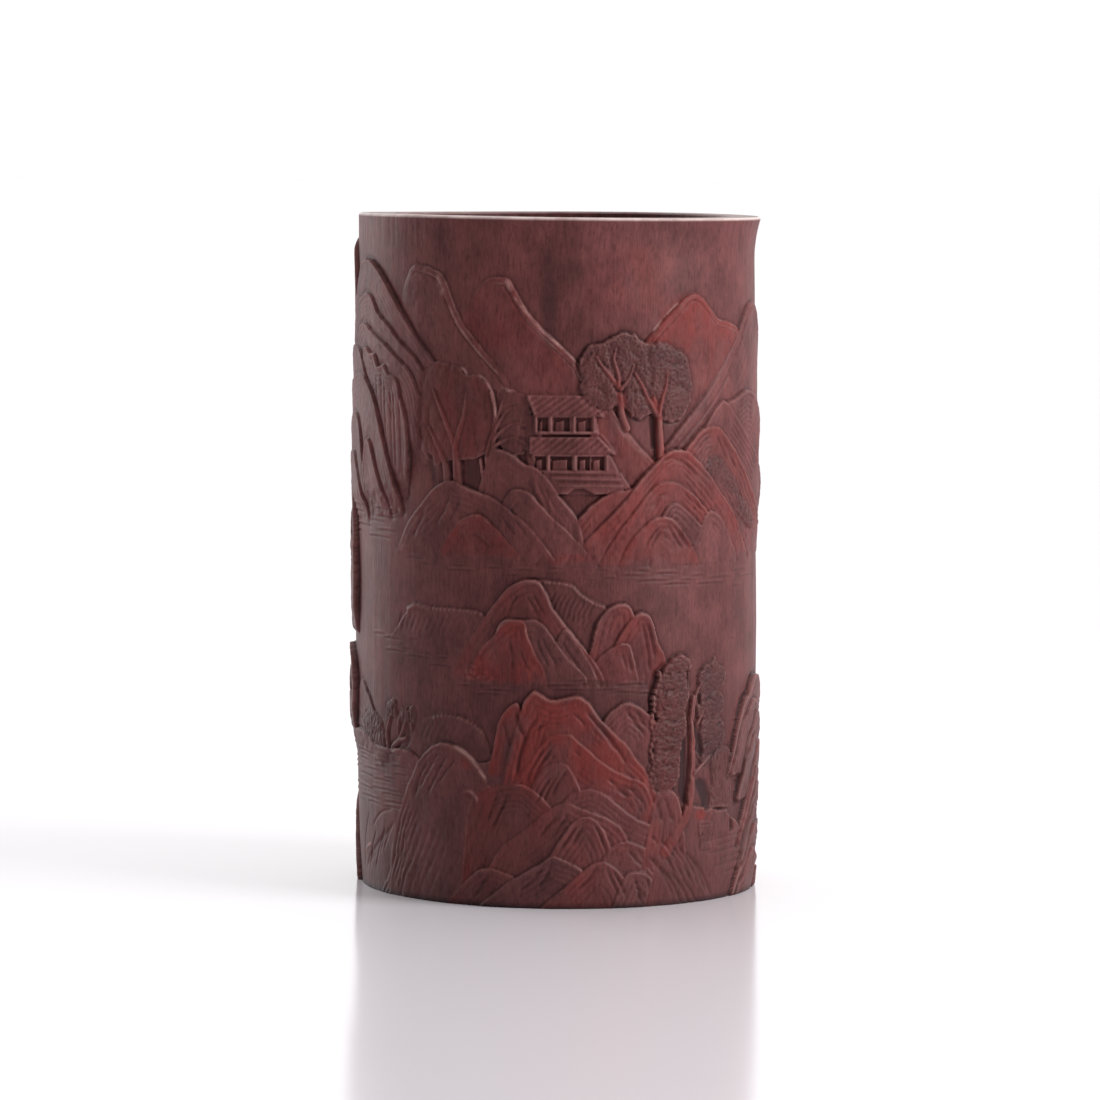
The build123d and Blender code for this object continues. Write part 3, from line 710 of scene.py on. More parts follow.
strokes([[(-8, 72.4), (-6, 69.4), (-4.4, 66.8)], [(-6.4, 72.6), (-4.6, 70), (-2.8, 67)],
         [(-10, 72.4), (-12, 70), (-13.4, 67.6)], [(-5.6, 62.6), (-4, 59), (-1.6, 55)],
         [(-4, 63), (-2, 59.4), (0.6, 55.4)], [(-13, 62), (-12, 58), (-12.4, 54.4)],
         [(-10, 60), (-8.6, 57), (-7, 54)], [(-22, 56.6), (-20, 59), (-19, 60.4)],
         [(1.6, 61.6), (3.8, 58.6), (6.4, 55.6)], [(24, 66), (25.4, 62), (26.4, 57.6), (27, 54)],
         [(25.4, 66), (27.4, 61), (28.6, 56.6)], [(20, 59), (20.6, 57), (21.6, 54)],
         [(18, 59.4), (19, 57.4), (20, 54.6)], [(14, 66), (16.4, 67.6), (18.4, 68)]], width=0.38, rise=-0.3)
dots([(-23.5, 53.5, 2.6), (-20, 52.8, 2.0)], 1.1, 0.4, 0.3, 65)
water([(-58, -48, 60.4), (-49, -44, 58.4), (-48, -36, 56.9), (-57, -46, 57.6), (-39, -30, 55.4),
       (-40, -36, 58), (-36, -30, 57.2), (-30, -23, 51.2), (-24, -13, 49.5), (-21, -10, 50.4), (-4, 6, 51.8),
       (-3, 10, 50.7), (2, 12, 52.8), (8, 20, 50.6), (16, 27, 51.8), (14, 24, 50), (22, 30, 49.6),
       (-64, -56, 61), (56, 62, 61), (-46, -40, 60.8)])

# ---- foreground, left: cliffs and a tree, then a shore with reeds and small trees
nested([(-122, 56), (-115, 68), (-109, 74), (-103, 84), (-97, 88), (-91, 93.4), (-86, 92.2), (-81, 88),
        (-78.6, 80), (-77.8, 70), (-78, 62)], -0.35, 60, 3, ROCK)
nested([(-118, 32), (-111, 42), (-105, 46), (-99, 53), (-92, 56.4), (-86, 55.6), (-81, 53), (-78.6, 48),
        (-78, 38)], -0.15, 34, 2, ROCK)
tree(-97, 60, 22, 1.5, 210)
mass([(-80, 38), (-77, 46), (-73, 49), (-69, 47), (-65, 44), (-60, 38)], -1.35, foot=33, rim_wear_and_highlight=0.1, dip=0.2,
     lean=0.03)
REEDS = dict(spacing=0.9, length=1.8, bearing=82, scatter=18, width=0.18, rise=-0.12, soot_and_shade=0.4, shadow=0.06,
             rim_wear_and_highlight=0.06)
foliage([(-76, 34.6), (-74.6, 38.6), (-70, 41.4), (-65.6, 42.4), (-61, 41.6), (-58, 39.4), (-57, 35),
         (-60, 34), (-70, 33.6)], -1.15, 67, **REEDS)
branch([(-55.2, 34), (-55.8, 38), (-54.6, 41), (-53.4, 44.4)], -1.15, 0.75, 0.3, shadow=0.12)
foliage([(-56, 42.4), (-56.4, 44.6), (-54.6, 45.4), (-52.8, 46.2), (-51, 45), (-51.6, 43.4), (-50.6, 41.8),
         (-53, 42)], -1.25, 68, **REEDS)
for tip, height in ((-49.6, 43), (-46.8, 44.2), (-44.6, 42)):
    branch([(-53.4, 34.6), (-50.4, 36.4), (tip - 1, height - 4), (tip, height)], -1.2, 0.7, 0.3, shadow=0.1)
foliage([(-50.4, 42), (-49, 44), (-46.6, 43.8), (-44.6, 45), (-43, 43.4), (-43.6, 40.8), (-46, 41.6),
         (-48.4, 40.6)], -1.3, 70, **REEDS)
pit([(-46.4, 40), (-44.8, 39), (-45.6, 35.4), (-47.2, 35.4)], 1.85, 0.8, 0.3)
mass([(-46, 36), (-42, 41), (-38, 42.6), (-33, 43.4), (-28, 43.4), (-24, 42.2), (-20.4, 40), (-18.6, 36)],
     -1.35, foot=33, lean=0.03, **TREELINE)
beads([(-36, 42.8), (-32, 43.6), (-28, 43.2), (-24, 42.2), (-21, 40.4)], 0.42, 0.4, 13)
strokes([[(a, 42), (a - 2, 39.4), (a - 3.4, 37)] for a in range(-38, -20, 2)], width=0.32, rise=-0.1)
mass([(-112, 20), (-104, 30), (-94, 35.4), (-84, 36.2), (-76, 37.4), (-68, 36.6), (-62, 34.6), (-54, 34.4),
      (-46, 34.6), (-40, 32)], -0.75, foot=30, dip=0.2, bevel=0.5)
ripples(-104, -46, 21, 33, 10, 71)

# ---- foreground, middle: overlapping rocks
worn_highlit_edge([(-75, 7.6), (-72, 9.6), (-68, 10.8)], width=0.3)
strokes([[(-67, 15), (-64, 17), (-60, 19), (-54, 20.2)], [(-77, 4), (-74, 12), (-69, 18.6)],
         [(-71, 4), (-68, 9.6), (-64, 14.6)], [(-66, 5), (-62, 11), (-58, 16)]], width=0.3, rise=-0.16)
mass([(-44, -4), (-42, 8), (-40, 18), (-37, 27), (-32, 32), (-25, 33), (-18, 34), (-10, 42), (2, 44),
      (14, 40), (26, 32), (34, 22), (46, 14), (62, 12), (84, 14), (100, 10), (112, 4)], -0.85, dip=0,
     shadow=0, rim_wear_and_highlight=0)
mass([(-63, -1), (-56.5, 6), (-54, 14), (-49, 23), (-43, 31), (-40, 34), (-36, 36.4), (-32, 37.3),
      (-28.4, 36.3), (-24.4, 34.4), (-21.6, 31.6), (-18.4, 28), (-16, 24)], -0.5, foot=-9, red=0.15,
     lean=0.08, **ROCK)
mass([(10, 38), (13.6, 43.8), (17, 46.4), (20, 47.4), (23.4, 46.4), (26, 44.8), (28.6, 43), (31, 37)], -0.75,
     foot=26, red=0.2, lean=0.03, **ROCK)
mass([(-18.4, 33), (-17, 39), (-15.6, 43.4), (-13, 46.2), (-10.6, 47.2), (-9.4, 45), (-9.2, 40), (-10.6, 35)],
     -0.75, foot=30, red=0.8, lean=0.05, **ROCK)
mass([(-12.6, 36), (-10.4, 43), (-8.8, 47.6), (-6, 50.1), (-3.4, 48.9), (-0.6, 48), (2.6, 48.7), (6, 49),
      (9, 47.4), (12.4, 43.6), (16, 40.4), (19.6, 37.8), (22.6, 34.4), (26, 31), (29, 26)], -0.45, foot=22,
     red=1.0, lean=0.02, **ROCK)
mass([(-8, 33), (-4, 37.6), (-1.4, 39.9), (3.6, 40.3), (6, 38.7), (9.4, 36.2), (12.6, 33.8), (16, 31.9),
      (20, 30.4), (24.6, 28.8), (27, 26), (29, 22)], -0.4, foot=18, red=0.9, lean=0.03, **ROCK)
mass([(-12, 20), (-8, 26.4), (-5, 30.4), (-2.4, 33), (1.6, 33.8), (3.8, 32.4), (6, 29)], -0.45, foot=18,
     red=0.3, lean=0.03, **ROCK)
stroke([(-11, 46), (-10, 42), (-8.6, 39), (-10, 35), (-10.6, 30)], width=0.6, rise=-0.5)
mass([(-26, 14), (-25, 21), (-22.8, 25.4), (-19, 27.4), (-15, 28.4), (-10.6, 28.7), (-7, 27.8), (-3, 25),
      (1, 21)], -0.5, foot=2, red=0.5, lean=0.06, **ROCK)
worn_highlit_edge([(-30, 36.8), (-26, 35.4), (-23.4, 33.6), (-21.2, 31.4), (-19, 28.8)], width=0.35)
worn_highlit_edge([(-26, 26.6), (-24, 26.4), (-22.6, 25.2), (-22.2, 23.8)])
stroke([(-27, 25.8), (-24.4, 25.4), (-23.2, 23.6)], width=0.5, rise=-0.25)
patch(-25.4, 32.6, 2.2, 2.4, red=1.0)
patch(-26, 26, 2.2, 1.2, red=0.8)
strokes([[(-13, 25.4), (-15.6, 22), (-18, 18)], [(-20, 25), (-22, 21), (-23.4, 16)]], width=0.4, rise=-0.2)
mass([(0, 22), (3, 25.8), (6, 27.2), (9.4, 27.7), (12.4, 26.8), (16, 24.8), (20, 22), (24, 20), (28, 18.8),
      (31, 16.4), (33, 12)], -0.45, foot=-9, red=0.2, **ROCK)
mass([(-19, 9), (-15.6, 13.6), (-11, 16.6), (-7, 19.2), (-3.6, 21.8), (0, 23.9), (3.6, 24.4), (7, 23.2),
      (11, 22), (15, 20.6), (19, 17.8), (21, 14)], -0.4, foot=-9, lean=0.02, red=0.3, **ROCK)
mass([(-3, 10), (-1, 13.2), (1.6, 16.6), (4, 19.4), (6.4, 21), (9.4, 21.3), (12.6, 19), (15, 15), (17, 10)],
     -0.3, foot=-9, red=0.4, **ROCK)
mass([(12, 10), (14.6, 13.6), (17.4, 15.1), (20.6, 15.3), (24, 14.4), (27, 12.9), (31, 9.4), (35, 6.6),
      (39, 4.2), (43, 1.6)], -0.3, foot=-9, red=0.2, **ROCK)
mass([(-28, 4), (-24.4, 6.8), (-21.6, 8.5), (-18.4, 8.9), (-15, 8.2), (-11.6, 7), (-9, 4)], -0.4, foot=-9,
     lean=0.05, red=0.2, **ROCK)
mass([(-17, 3.6), (-12.4, 6.4), (-8, 8.6), (-4, 10.6), (-1.2, 12.2), (3, 11), (7.4, 9), (11, 5)], -0.2,
     foot=-9, **ROCK)
mass([(-4, 0.5), (0, 3.4), (4, 6.2), (7.6, 8.9), (10.6, 10.6), (13.6, 10.8), (17, 9), (20, 6), (22, 2)],
     -0.1, foot=-9, red=0.4, **ROCK)
mass([(17.6, 4), (19.8, 7.6), (23, 8.2), (26, 7.7), (28.4, 5.8), (31, 3), (33, 0)], -0.1, foot=-9, **ROCK)
strokes([[(a, 4 + 0.4 * (a + 74)), (a + 3, 7 + 0.5 * (a + 74)), (a + 7, 10 + 0.55 * (a + 74))]
         for a in (-74, -71.5, -69, -67, -65, -62.4, -60)], width=0.4, rise=-0.18, taper=3)
strokes([[(a, 3 + 0.2 * b), (a + 6, 11 + 0.5 * b), (a + 10, 18 + 0.5 * b)]
         for b, a in enumerate(range(-56, -22, 3))], width=0.5, rise=-0.1, taper=5)
strokes([[(a, 0.5), (a + 4, 6.4), (a + 9, 12)] for a in range(-60, -16, 4)], width=0.45, rise=-0.09, taper=4)
strokes([[(4, 45), (6, 44.2), (8.6, 41.8)], [(8, 45.6), (11, 43), (14, 39.6), (17, 36)],
         [(12, 42.6), (15, 39.4), (18, 35.6), (20, 33)], [(4.6, 37), (7.4, 34.8)],
         [(-5, 44.6), (-7, 41.6), (-8.6, 38)], [(-2.6, 43), (-4.4, 41.8), (-6.4, 40.6)],
         [(-3, 37.6), (-6, 33), (-8.6, 28.4)], [(-1, 37), (-4, 33.4), (-6.4, 29)],
         [(3.4, 32.4), (1, 29.6), (-1.6, 25.6)], [(1.4, 31.6), (-1.4, 28.4), (-3.6, 24.6)],
         [(-1, 31), (-3.6, 27.6), (-5.4, 24)]], width=0.42, rise=-0.34)
strokes([[(19.4, 46), (22, 43), (25.4, 39.4)], [(22.4, 45.6), (24, 43.4), (26, 41)],
         [(14, 30.6), (17, 28), (20.6, 25.4)], [(20, 28.6), (22.6, 26), (25, 24)],
         [(-15, 44), (-13.6, 40), (-12.4, 37)], [(-13, 27), (-15.6, 22), (-18, 18)],
         [(-16, 27), (-18, 22.6), (-19.6, 19)], [(-34, 35), (-38, 31), (-42, 26)],
         [(-31, 35), (-35, 30), (-39, 25)], [(-28, 34.4), (-31.6, 31), (-35, 27.6)],
         [(-38, 33), (-41.4, 29), (-44, 24)]], width=0.42, rise=-0.32)
strokes([[(6, 20), (3.6, 16.6), (1, 13.6)], [(8, 20), (6, 17), (4.4, 14)],
         [(10.6, 20), (12.4, 16.6), (14, 13)], [(11.6, 10), (9, 7), (5.6, 4)],
         [(14, 9.6), (16, 6), (18, 2.6)], [(15.6, 9.4), (18, 6), (20, 2.4)], [(-3, 10), (-6, 7), (-10, 4)],
         [(-1, 11), (-2.4, 8), (-5, 4.6)], [(1, 22), (-2, 19.4), (-5, 16)], [(3.6, 22.6), (2, 20), (-1, 17)],
         [(23, 13.4), (26, 10.4), (29, 7)], [(20, 13.8), (23, 11), (26.4, 9)],
         [(25.6, 7), (27, 4.4), (28, 1.6)], [(22, 7.4), (23.6, 4), (24, 1.4)],
         [(29, 10.6), (33, 6.6), (38, 2.6)], [(-19, 7.6), (-21.6, 4.4), (-24, 1.6)]], width=0.42, rise=-0.3)

# ---- foreground, right: an old pine, and a hut on the bank
mass([(30, 12), (34, 16.6), (37.4, 20), (41, 22.4), (46, 22), (52, 21), (60, 19), (68, 14)], -0.8, foot=-9,
     dip=0.2, shadow=0.0, rim_wear_and_highlight=0.2, red=0.15)
mass([(26.6, 18), (28.4, 25), (30.6, 27.4), (34, 26.8), (36.6, 24.4), (38, 20), (39, 15)], -0.6, foot=8,
     red=0.4, **ROCK)
strokes([[(29, 25), (30, 22), (31.4, 19)], [(31, 26), (33, 22.6), (34.4, 19)]], width=0.5, rise=-0.3)
foliage([(49, 21.6), (50, 27), (49.6, 31), (51, 34.6), (54.6, 36), (58, 35), (60, 31), (60.4, 26),
         (59.8, 21.8), (55, 21)], -1.1, 80, spacing=1.0, length=2.0, bearing=85, scatter=12, rise=-0.14,
        soot_and_shade=0.2, shadow=0.08, rim_wear_and_highlight=0.1)
foliage([(44, 34), (44.4, 38.6), (45.6, 42.4), (49.6, 43.6), (53.6, 43), (55.6, 40), (55, 36.4), (52, 35.4),
         (49, 33.4), (46.4, 31.6)], -1.0, 81, **NEEDLES)
foliage([(43.6, 43), (43, 46.6), (44.4, 49.6), (48, 50.4), (52, 49.6), (54.6, 46.6), (54, 43.4), (49, 42.6)],
        -0.95, 82, **NEEDLES)
foliage([(44, 49.6), (43.6, 52), (45.4, 54.4), (48.4, 55.4), (50.4, 57), (52, 54.6), (54.8, 54), (55.2, 50.6),
         (52, 49), (47, 48.6)], -0.9, 83, **NEEDLES)
foliage([(27.6, 28), (26, 31), (27, 34), (28.4, 36.4), (33, 37), (36.6, 36), (36.8, 31), (35.4, 27.4),
         (31, 26.4)], -0.6, 84, red=0.4, **NEEDLES)
foliage([(28.2, 35.6), (27.6, 38.6), (28.6, 42), (30.4, 44.6), (34.6, 45), (38.4, 44.4), (38.8, 40), (37, 36),
         (32.6, 34.8)], -0.55, 85, red=0.3, **NEEDLES)
foliage([(28.8, 43.6), (28, 46.6), (28.4, 50), (29.6, 53), (31.6, 55.4), (34.4, 57.4), (37.6, 57.9),
         (40.4, 56), (40.2, 51), (39, 46.6), (37, 43.6), (33, 43)], -0.5, 86, red=0.3, **NEEDLES)
stroke([(28.4, 44), (27.4, 49), (28.6, 53.4), (31.6, 56.6)], width=0.7, rise=-0.35)
strokes([[(29 + 0.2 * step, 31 + 3.4 * step), (32, 32.6 + 3.4 * step), (36, 31.6 + 3.4 * step)]
         for step in range(6)], width=0.4, rise=-0.25)
strokes([[(30, 48.8), (34, 50), (38.4, 49)], [(30.6, 53), (34, 54), (38, 53)],
         [(44.4, 52), (48, 53.4), (52, 52.4)], [(45, 46.6), (49, 47), (53.6, 46)]], width=0.45, rise=-0.2)
for height in np.arange(28.0, 55.0, 1.35):
    fan(27.8 + 2.6 * smoothstep((height - 44) / 12) + 0.4 * sin(height), height, 0.8, -0.5, spokes=3,
        turn=190)
branch([(32.6, 12.4), (36, 16.4), (39.4, 20.4), (41, 25), (41.6, 32), (41.4, 38), (40.8, 43), (41.6, 48)],
       -0.65, 1.5, 0.35, shadow=0.12, red=0.6)
branch([(41.6, 36), (43, 41), (46, 45)], -0.8, 0.6, 0.2, shadow=0.1, red=0.3)
branch([(41.4, 43), (42.4, 48), (45, 51.4)], -0.8, 0.5, 0.15, shadow=0.1)
branch([(42, 30), (45.4, 32), (49, 34)], -0.85, 0.6, 0.2, shadow=0.1)
strokes([[(40.6, 24), (40.4, 32), (40.6, 40)], [(41.6, 28), (41.8, 36), (42, 44)]], width=0.3, rise=-0.16)
# the pine's gaps and slots are darkened as painted shade
GAP = dict(soft=1.1, soot_and_shade=1.0)
pit([(37.6, 38), (39.2, 38.4), (39.6, 32), (39.6, 23), (38.6, 23.6), (37.2, 26), (37.4, 32)], 2.15, **GAP)
pit([(42, 41), (43.4, 41.2), (44.8, 38.4), (45.8, 34.8), (44.6, 33.6), (43.2, 36)], 2.15, **GAP)
# painted shade: soft dark patches round the grooves of the pine's slots
for angle, height in ((50, 34.4), (48, 47.6), (52.6, 41)):
    patch(angle, height, 2.0, 0.8, soot_and_shade=0.9)
    stroke([(angle - 2, height - 0.8), (angle, height), (angle + 2, height + 0.6)], width=0.5, rise=-0.4)
pit([(38.8, 54), (40, 54), (40.4, 50.4), (39.2, 49.4)], 2.0, **GAP)
pit([(43, 28), (45, 28.8), (47.6, 27.8), (49.2, 24.6), (48.6, 21.6), (47, 21.4), (46, 23.6)], 2.15, soft=1.5,
    soot_and_shade=1.0)
pit([(43.4, 48.6), (44.4, 48.6), (44.4, 46), (43.4, 46)], 1.9, soft=0.6, soot_and_shade=0.6)
pit([(58.2, 21), (60.4, 20.6), (60.8, 15.6), (59, 15.4)], 1.6, soft=0.8, soot_and_shade=0.4)
patch(44.6, 20.4, 2.4, 1.4, red=1.0)
slab([(50, 20.6), (57.4, 20.8), (57.6, 15.6), (50.4, 15.4)], -0.95, shadow=0.12)
slab([(44, 18), (50, 17.8), (51, 15.2), (44.6, 15.4)], -0.6, hatch=(60, 1.2, 0.22))
slab([(44.8, 15.4), (50, 15.2), (49.8, 12), (45.2, 12.2)], -0.8)
strokes([[(44.6 + 1.1 * step, 12.4), (45.4 + 1.1 * step, 15), (46 + 1.1 * step, 17.6)] for step in range(5)],
        width=0.25, rise=-0.2)
strokes([[(48, 21.4), (53, 21.7), (58, 21.4)], [(44, 18.3), (47, 18.4), (50.4, 18)]], width=0.32, rise=0.3,
        taper=0.6)
strokes([[(a, h), (a + 12, h + 0.5), (a + 22, h + 0.2)] for a, h in ((47, 14), (51, 12.6), (48, 11),
                                                                     (53, 9.4), (50, 7.8), (56, 6),
                                                                     (60, 3.6))], width=0.35, rise=-0.2)
strokes([[(a, h), (a + 5, h - 4.6), (a + 9, h - 10)]
         for a, h in ((27, 17), (30, 16), (33, 15), (36, 14), (39, 12.6), (42, 10.6), (26.6, 12), (30, 9.6),
                      (34, 8), (38, 6.4))], width=0.4, rise=-0.26)
strokes([[(a, h), (a + 4, h - 3.4), (a + 8, h - 8)] for a,
         h in ((28.6, 15.4), (32.6, 13), (36.6, 11), (41, 8))], width=0.3, rise=0.16)
ripples(55, 100, 22, 42, 9, 72)
CLIFF = dict(ROCK, dip=0.6, shadow=0.45, spill=0.8)
nested([(58, 30), (63, 41), (67, 45.6), (70, 46.8), (74, 50), (79, 50.8), (84, 49), (88, 45.6), (94, 43.6),
        (100, 38), (107, 28)], -0.5, 28, 1, CLIFF)
nested([(66, 28), (70, 36), (74, 38.6), (78, 42.2), (83, 41.4), (88, 37.6), (93, 36), (99, 30), (106, 22)],
       -0.45, 22, 1, CLIFF)
nested([(70, 22), (75, 29), (78, 31), (82, 34.8), (87, 34), (91, 29.6), (97, 27.6), (104, 20), (111, 12)],
       -0.4, 12, 1, CLIFF, red=0.3)
nested([(68, 12), (73, 20), (77, 22.6), (80, 25.6), (84, 25), (88, 21), (93, 19.6), (99, 13), (106, 5)],
       -0.35, 2, 1, CLIFF)
nested([(58, -4), (64, 5), (69, 8), (75, 14), (81, 15.6), (87, 13), (93, 11.6), (101, 5), (109, -4)], -0.25,
       -9, 2, CLIFF, red=0.3)

# ---------------------------------------------------------------- the back: the same lake carried on round
mass([(112, 110), (121, 125), (129, 130), (137, 138), (142, 141), (147, 137), (154, 130), (163, 122)], -1.1,
     foot=98, **FAR)
mass([(198, 112), (206, 124), (212, 129), (217, 134), (224, 137), (230, 133), (236, 126), (242, 122),
      (250, 110)], -1.1, foot=98, **FAR)
mass([(150, 116), (157, 129), (162, 132), (168, 140), (174, 143), (180, 146.5), (186, 143), (192, 135),
      (199, 130), (206, 121), (214, 114)], -1.05, foot=98, red=0.4, **FAR)
nested([(124, 92), (130, 104), (135, 109), (140, 118), (144, 116), (149, 109), (155, 105), (161, 97),
        (168, 88)], -0.8, 84, 2, PEAK)
nested([(182, 90), (188, 101), (194, 105), (200, 111), (206, 113), (212, 107), (219, 103), (226, 94),
        (232, 86)], -0.75, 84, 2, PEAK)
nested([(148, 94), (155, 107), (160, 111), (165, 119), (170, 122.5), (175, 119), (180, 112), (187, 108),
        (194, 100), (202, 91)], -0.65, 83, 3, PEAK, red=0.3)
nested([(92, 84), (99, 95), (105, 98), (111, 105), (117, 107), (122, 104), (128, 98), (134, 95), (142, 88),
        (148, 82)], -0.6, 79, 3, RIDGE, red=0.5)
nested([(212, 84), (220, 94), (226, 97), (232, 103), (238, 103.6), (244, 98), (249, 94), (256, 86)], -0.55,
       79, 2, RIDGE)
tree(163, 80, 26, -1.5, 110)
tree(204, 80, 24, 1.5, 120)
nested([(158, 81), (165, 89), (170, 92), (176, 97.6), (183, 98.6), (190, 94), (196, 91), (204, 85),
        (210, 80)], -0.45, 78.5, 3, RIDGE, red=0.4)
water([(104, 128, 76.6), (116, 140, 78), (132, 156, 75.4), (150, 172, 77.4), (166, 196, 75.8),
       (190, 214, 77.6), (206, 232, 76), (224, 246, 78), (112, 134, 73), (204, 226, 73.2), (226, 240, 72)])
tree(190, 56, 19, 1.0, 130)
nested([(144, 51), (150, 58), (156, 61), (162, 68), (168, 72), (174, 72.6), (180, 68.6), (187, 65), (194, 58),
        (203, 51)], -0.55, 50.6, 3, ISLE, red=0.7)
mass([(216, 60), (218, 57.6), (224, 56.8), (230, 57.4), (233, 60.4), (230, 58.8), (224, 58.4), (219, 59)],
     -0.5, dip=0.15)
slab([(220, 61.6), (228, 61.8), (229.4, 58.8), (219, 58.6)], -0.7, hatch=(90, 1.0, 0.2))
ripples(90, 140, 50, 68, 7, 98)
ripples(206, 246, 46, 55, 5, 99)
ripples(120, 240, 40, 49, 4, 100)
pine(134, 34, 44, 3.0, 9, 140)
pine(208, 36, 42, -3.0, 9, 160)
pine(244, 26, 32, 2.0, 8, 180)
pine(112, 10, 38, -2.0, 8, 200)
nested([(184, 8), (190, 24), (195, 30), (200, 40), (205, 44), (211, 40), (216, 32), (222, 28), (228, 18),
        (234, 6)], -0.55, -9, 3, ROCK, red=0.7)
nested([(104, 2), (112, 15), (118, 21), (126, 33), (133, 40), (139, 43.5), (144, 41), (150, 34), (156, 30),
        (164, 20), (172, 8)], -0.5, -9, 3, ROCK, red=0.8)
nested([(146, 4), (153, 20), (158, 27), (163, 39), (168, 46), (174, 43), (180, 34), (186, 30), (192, 20),
        (198, 6)], -0.4, -9, 4, ROCK, red=0.6)
nested([(222, 2), (230, 17), (236, 22), (242, 31), (248, 34), (254, 30), (260, 21), (266, 16), (272, 4)],
       -0.55, -9, 2, dict(dip=0.5, reach=4, shadow=0.25, ribs=0.12, spacing=1.5, ribs_to=6), red=0.3)
nested([(108, -3), (116, 8), (122, 14), (128, 21), (134, 24.6), (140, 22), (146, 15), (154, 9), (160, -2)],
       -0.2, -9, 2, ROCK, red=0.3)
nested([(176, -3), (184, 6), (191, 12), (198, 20), (206, 23.4), (213, 20), (219, 13), (227, 8), (234, -3)],
       -0.2, -9, 2, ROCK, red=0.5)
nested([(140, -3), (148, 3), (156, 9), (163, 16), (170, 18.6), (177, 15), (184, 8), (192, -3)], -0.15, -9, 1,
       ROCK)
nested([(220, -3), (229, 6), (236, 12), (243, 14), (250, 10), (257, 5), (264, -3)], -0.2, -9, 1, ROCK,
       red=0.3)
HILLSIDE_CUTS = [(126, 24, 1.4), (131, 28, 1.6), (143, 32, -1.4), (148, 27, -1.6), (159, 27, 1.4),
                 (174, 34, -1.5), (179, 28, -1.6), (194, 28, 1.4), (209, 33, -1.6), (215, 27, -1.6),
                 (128, 12, 1.5), (141, 13, -1.6), (162, 8, 1.5), (173, 9, -1.5), (196, 10, 1.6),
                 (212, 11, -1.6), (238, 23, 1.5), (252, 22, -1.5), (116, 14, 1.4)]
strokes([[(a + lean * 2, base + 7), (a + lean, base + 1), (a, base - 6)] for a, base, lean in HILLSIDE_CUTS],
        width=0.4, rise=-0.22)

# ---------------------------------------------------------------- the wall's skin as one closed mesh
relief = np.clip(relief, DEEPEST_CUT, 0.0)
plain = smoothstep((row_heights[:, None] - PLAIN_FROM) / 4)
relief = relief * (1 - plain) + (-GROUND_DEPTH + 0.05 * noise(1.0, 30.0, 24)) * plain


def blurred(field, span):
    """A field averaged over about span millimetres; it closes round the pot."""
    half = max(1, int(span / CELL / 2))
    for _ in range(2):
        wrapped = np.concatenate([field[:, -half - 1:], field, field[:, :half]], axis=1).cumsum(axis=1)
        field = (wrapped[:, 2 * half + 1:] - wrapped[:, :-2 * half - 1]) / (2 * half + 1)
        stacked = np.concatenate([np.repeat(field[:1], half + 1, 0), field, np.repeat(field[-1:], half, 0)])
        stacked = stacked.cumsum(axis=0)
        field = (stacked[2 * half + 1:] - stacked[:-2 * half - 1]) / (2 * half + 1)
    return field


angles = np.radians(column_angles)
heights = np.broadcast_to(row_heights[:, None], relief.shape)
share = np.clip(1 - (HEIGHT - heights) / LIP_FLARE_HEIGHT, 0, 1)
over_lip = np.clip(heights - (HEIGHT - LIP_ROUND), 0, LIP_ROUND)
radius = np.interp(heights, SKIN_HEIGHTS, SKIN_RADII) + relief
radius = radius + LIP_FLARE / 2 * share**2 * (1 + np.sin(angles))
radius = radius - LIP_ROUND + np.sqrt(LIP_ROUND**2 - over_lip**2)
radius = np.minimum(radius, SKIN_RADII[0] - FOOT_BEVEL + heights)
lip_wave = -0.2 - 0.12 * np.sin(2 * angles) - 0.05 * np.cos(3 * angles + 1)
heights = heights + lip_wave * smoothstep((heights - 150) / 8)


def bore_radius(height):
    return BORE_R_FOOT + (BORE_R_LIP - BORE_R_FOOT) * height / HEIGHT


lip_r, lip_z = radius[-1], heights[-1]
inner_rim = bore_radius(HEIGHT) + LIP_ROUND
LIP_RINGS, ROUND_RINGS, BORE_RINGS = 14, 8, 110
inside = [(lip_r + (inner_rim - lip_r) * t, lip_z + 0 * angles) for t in np.linspace(0.02, 1, LIP_RINGS)]
inside += [(inner_rim - LIP_ROUND * sin(turn) + 0 * angles, lip_z - LIP_ROUND * (1 - cos(turn)))
           for turn in np.linspace(0.15, pi / 2, ROUND_RINGS)]
for height in np.append(np.linspace(HEIGHT - 1.2, BOARD_TOP + 0.1, BORE_RINGS), BOARD_TOP):
    scraped = 0.12 * np.sin(5 * angles + height / 23) + 0.05 * np.sin(17 * angles - height / 9)
    scraped = scraped * min(1, (height - BOARD_TOP) / 4) * min(1, (HEIGHT - height) / 6)
    settle = np.clip((height - HEIGHT + 12) / 11, 0, 1) * (lip_z - HEIGHT)
    inside.append((bore_radius(height) + np.maximum(scraped, -0.05), height + settle))
corners = [(BORE_R_FOOT + 0.2, BOARD_TOP), (BOARD_R - 0.1, BOARD_TOP), (BOARD_R, BOARD_TOP),
           (BOARD_R, BOARD_TOP - 0.1), (BOARD_R, 3.0), (BOARD_R, 0.15), (BOARD_R + 0.15, 0.0),
           (BOARD_R + 0.4, 0.0)]
inside += [(r + 0 * angles, z + 0 * angles) for r, z in corners]
inside.append((radius[0] * 0.4 + BOARD_R * 0.6, 0 * angles))
inside.append((radius[0] - 0.15, 0 * angles))

ring_r = np.vstack([radius, [r for r, _ in inside]])
ring_z = np.vstack([heights, [z for _, z in inside]])
rings = len(ring_r)
x = ring_r * np.sin(angles) + shift(ring_z)
y = -ring_r * np.cos(angles)
vertices = np.stack([x, y, ring_z], axis=-1).reshape(-1, 3) * MM

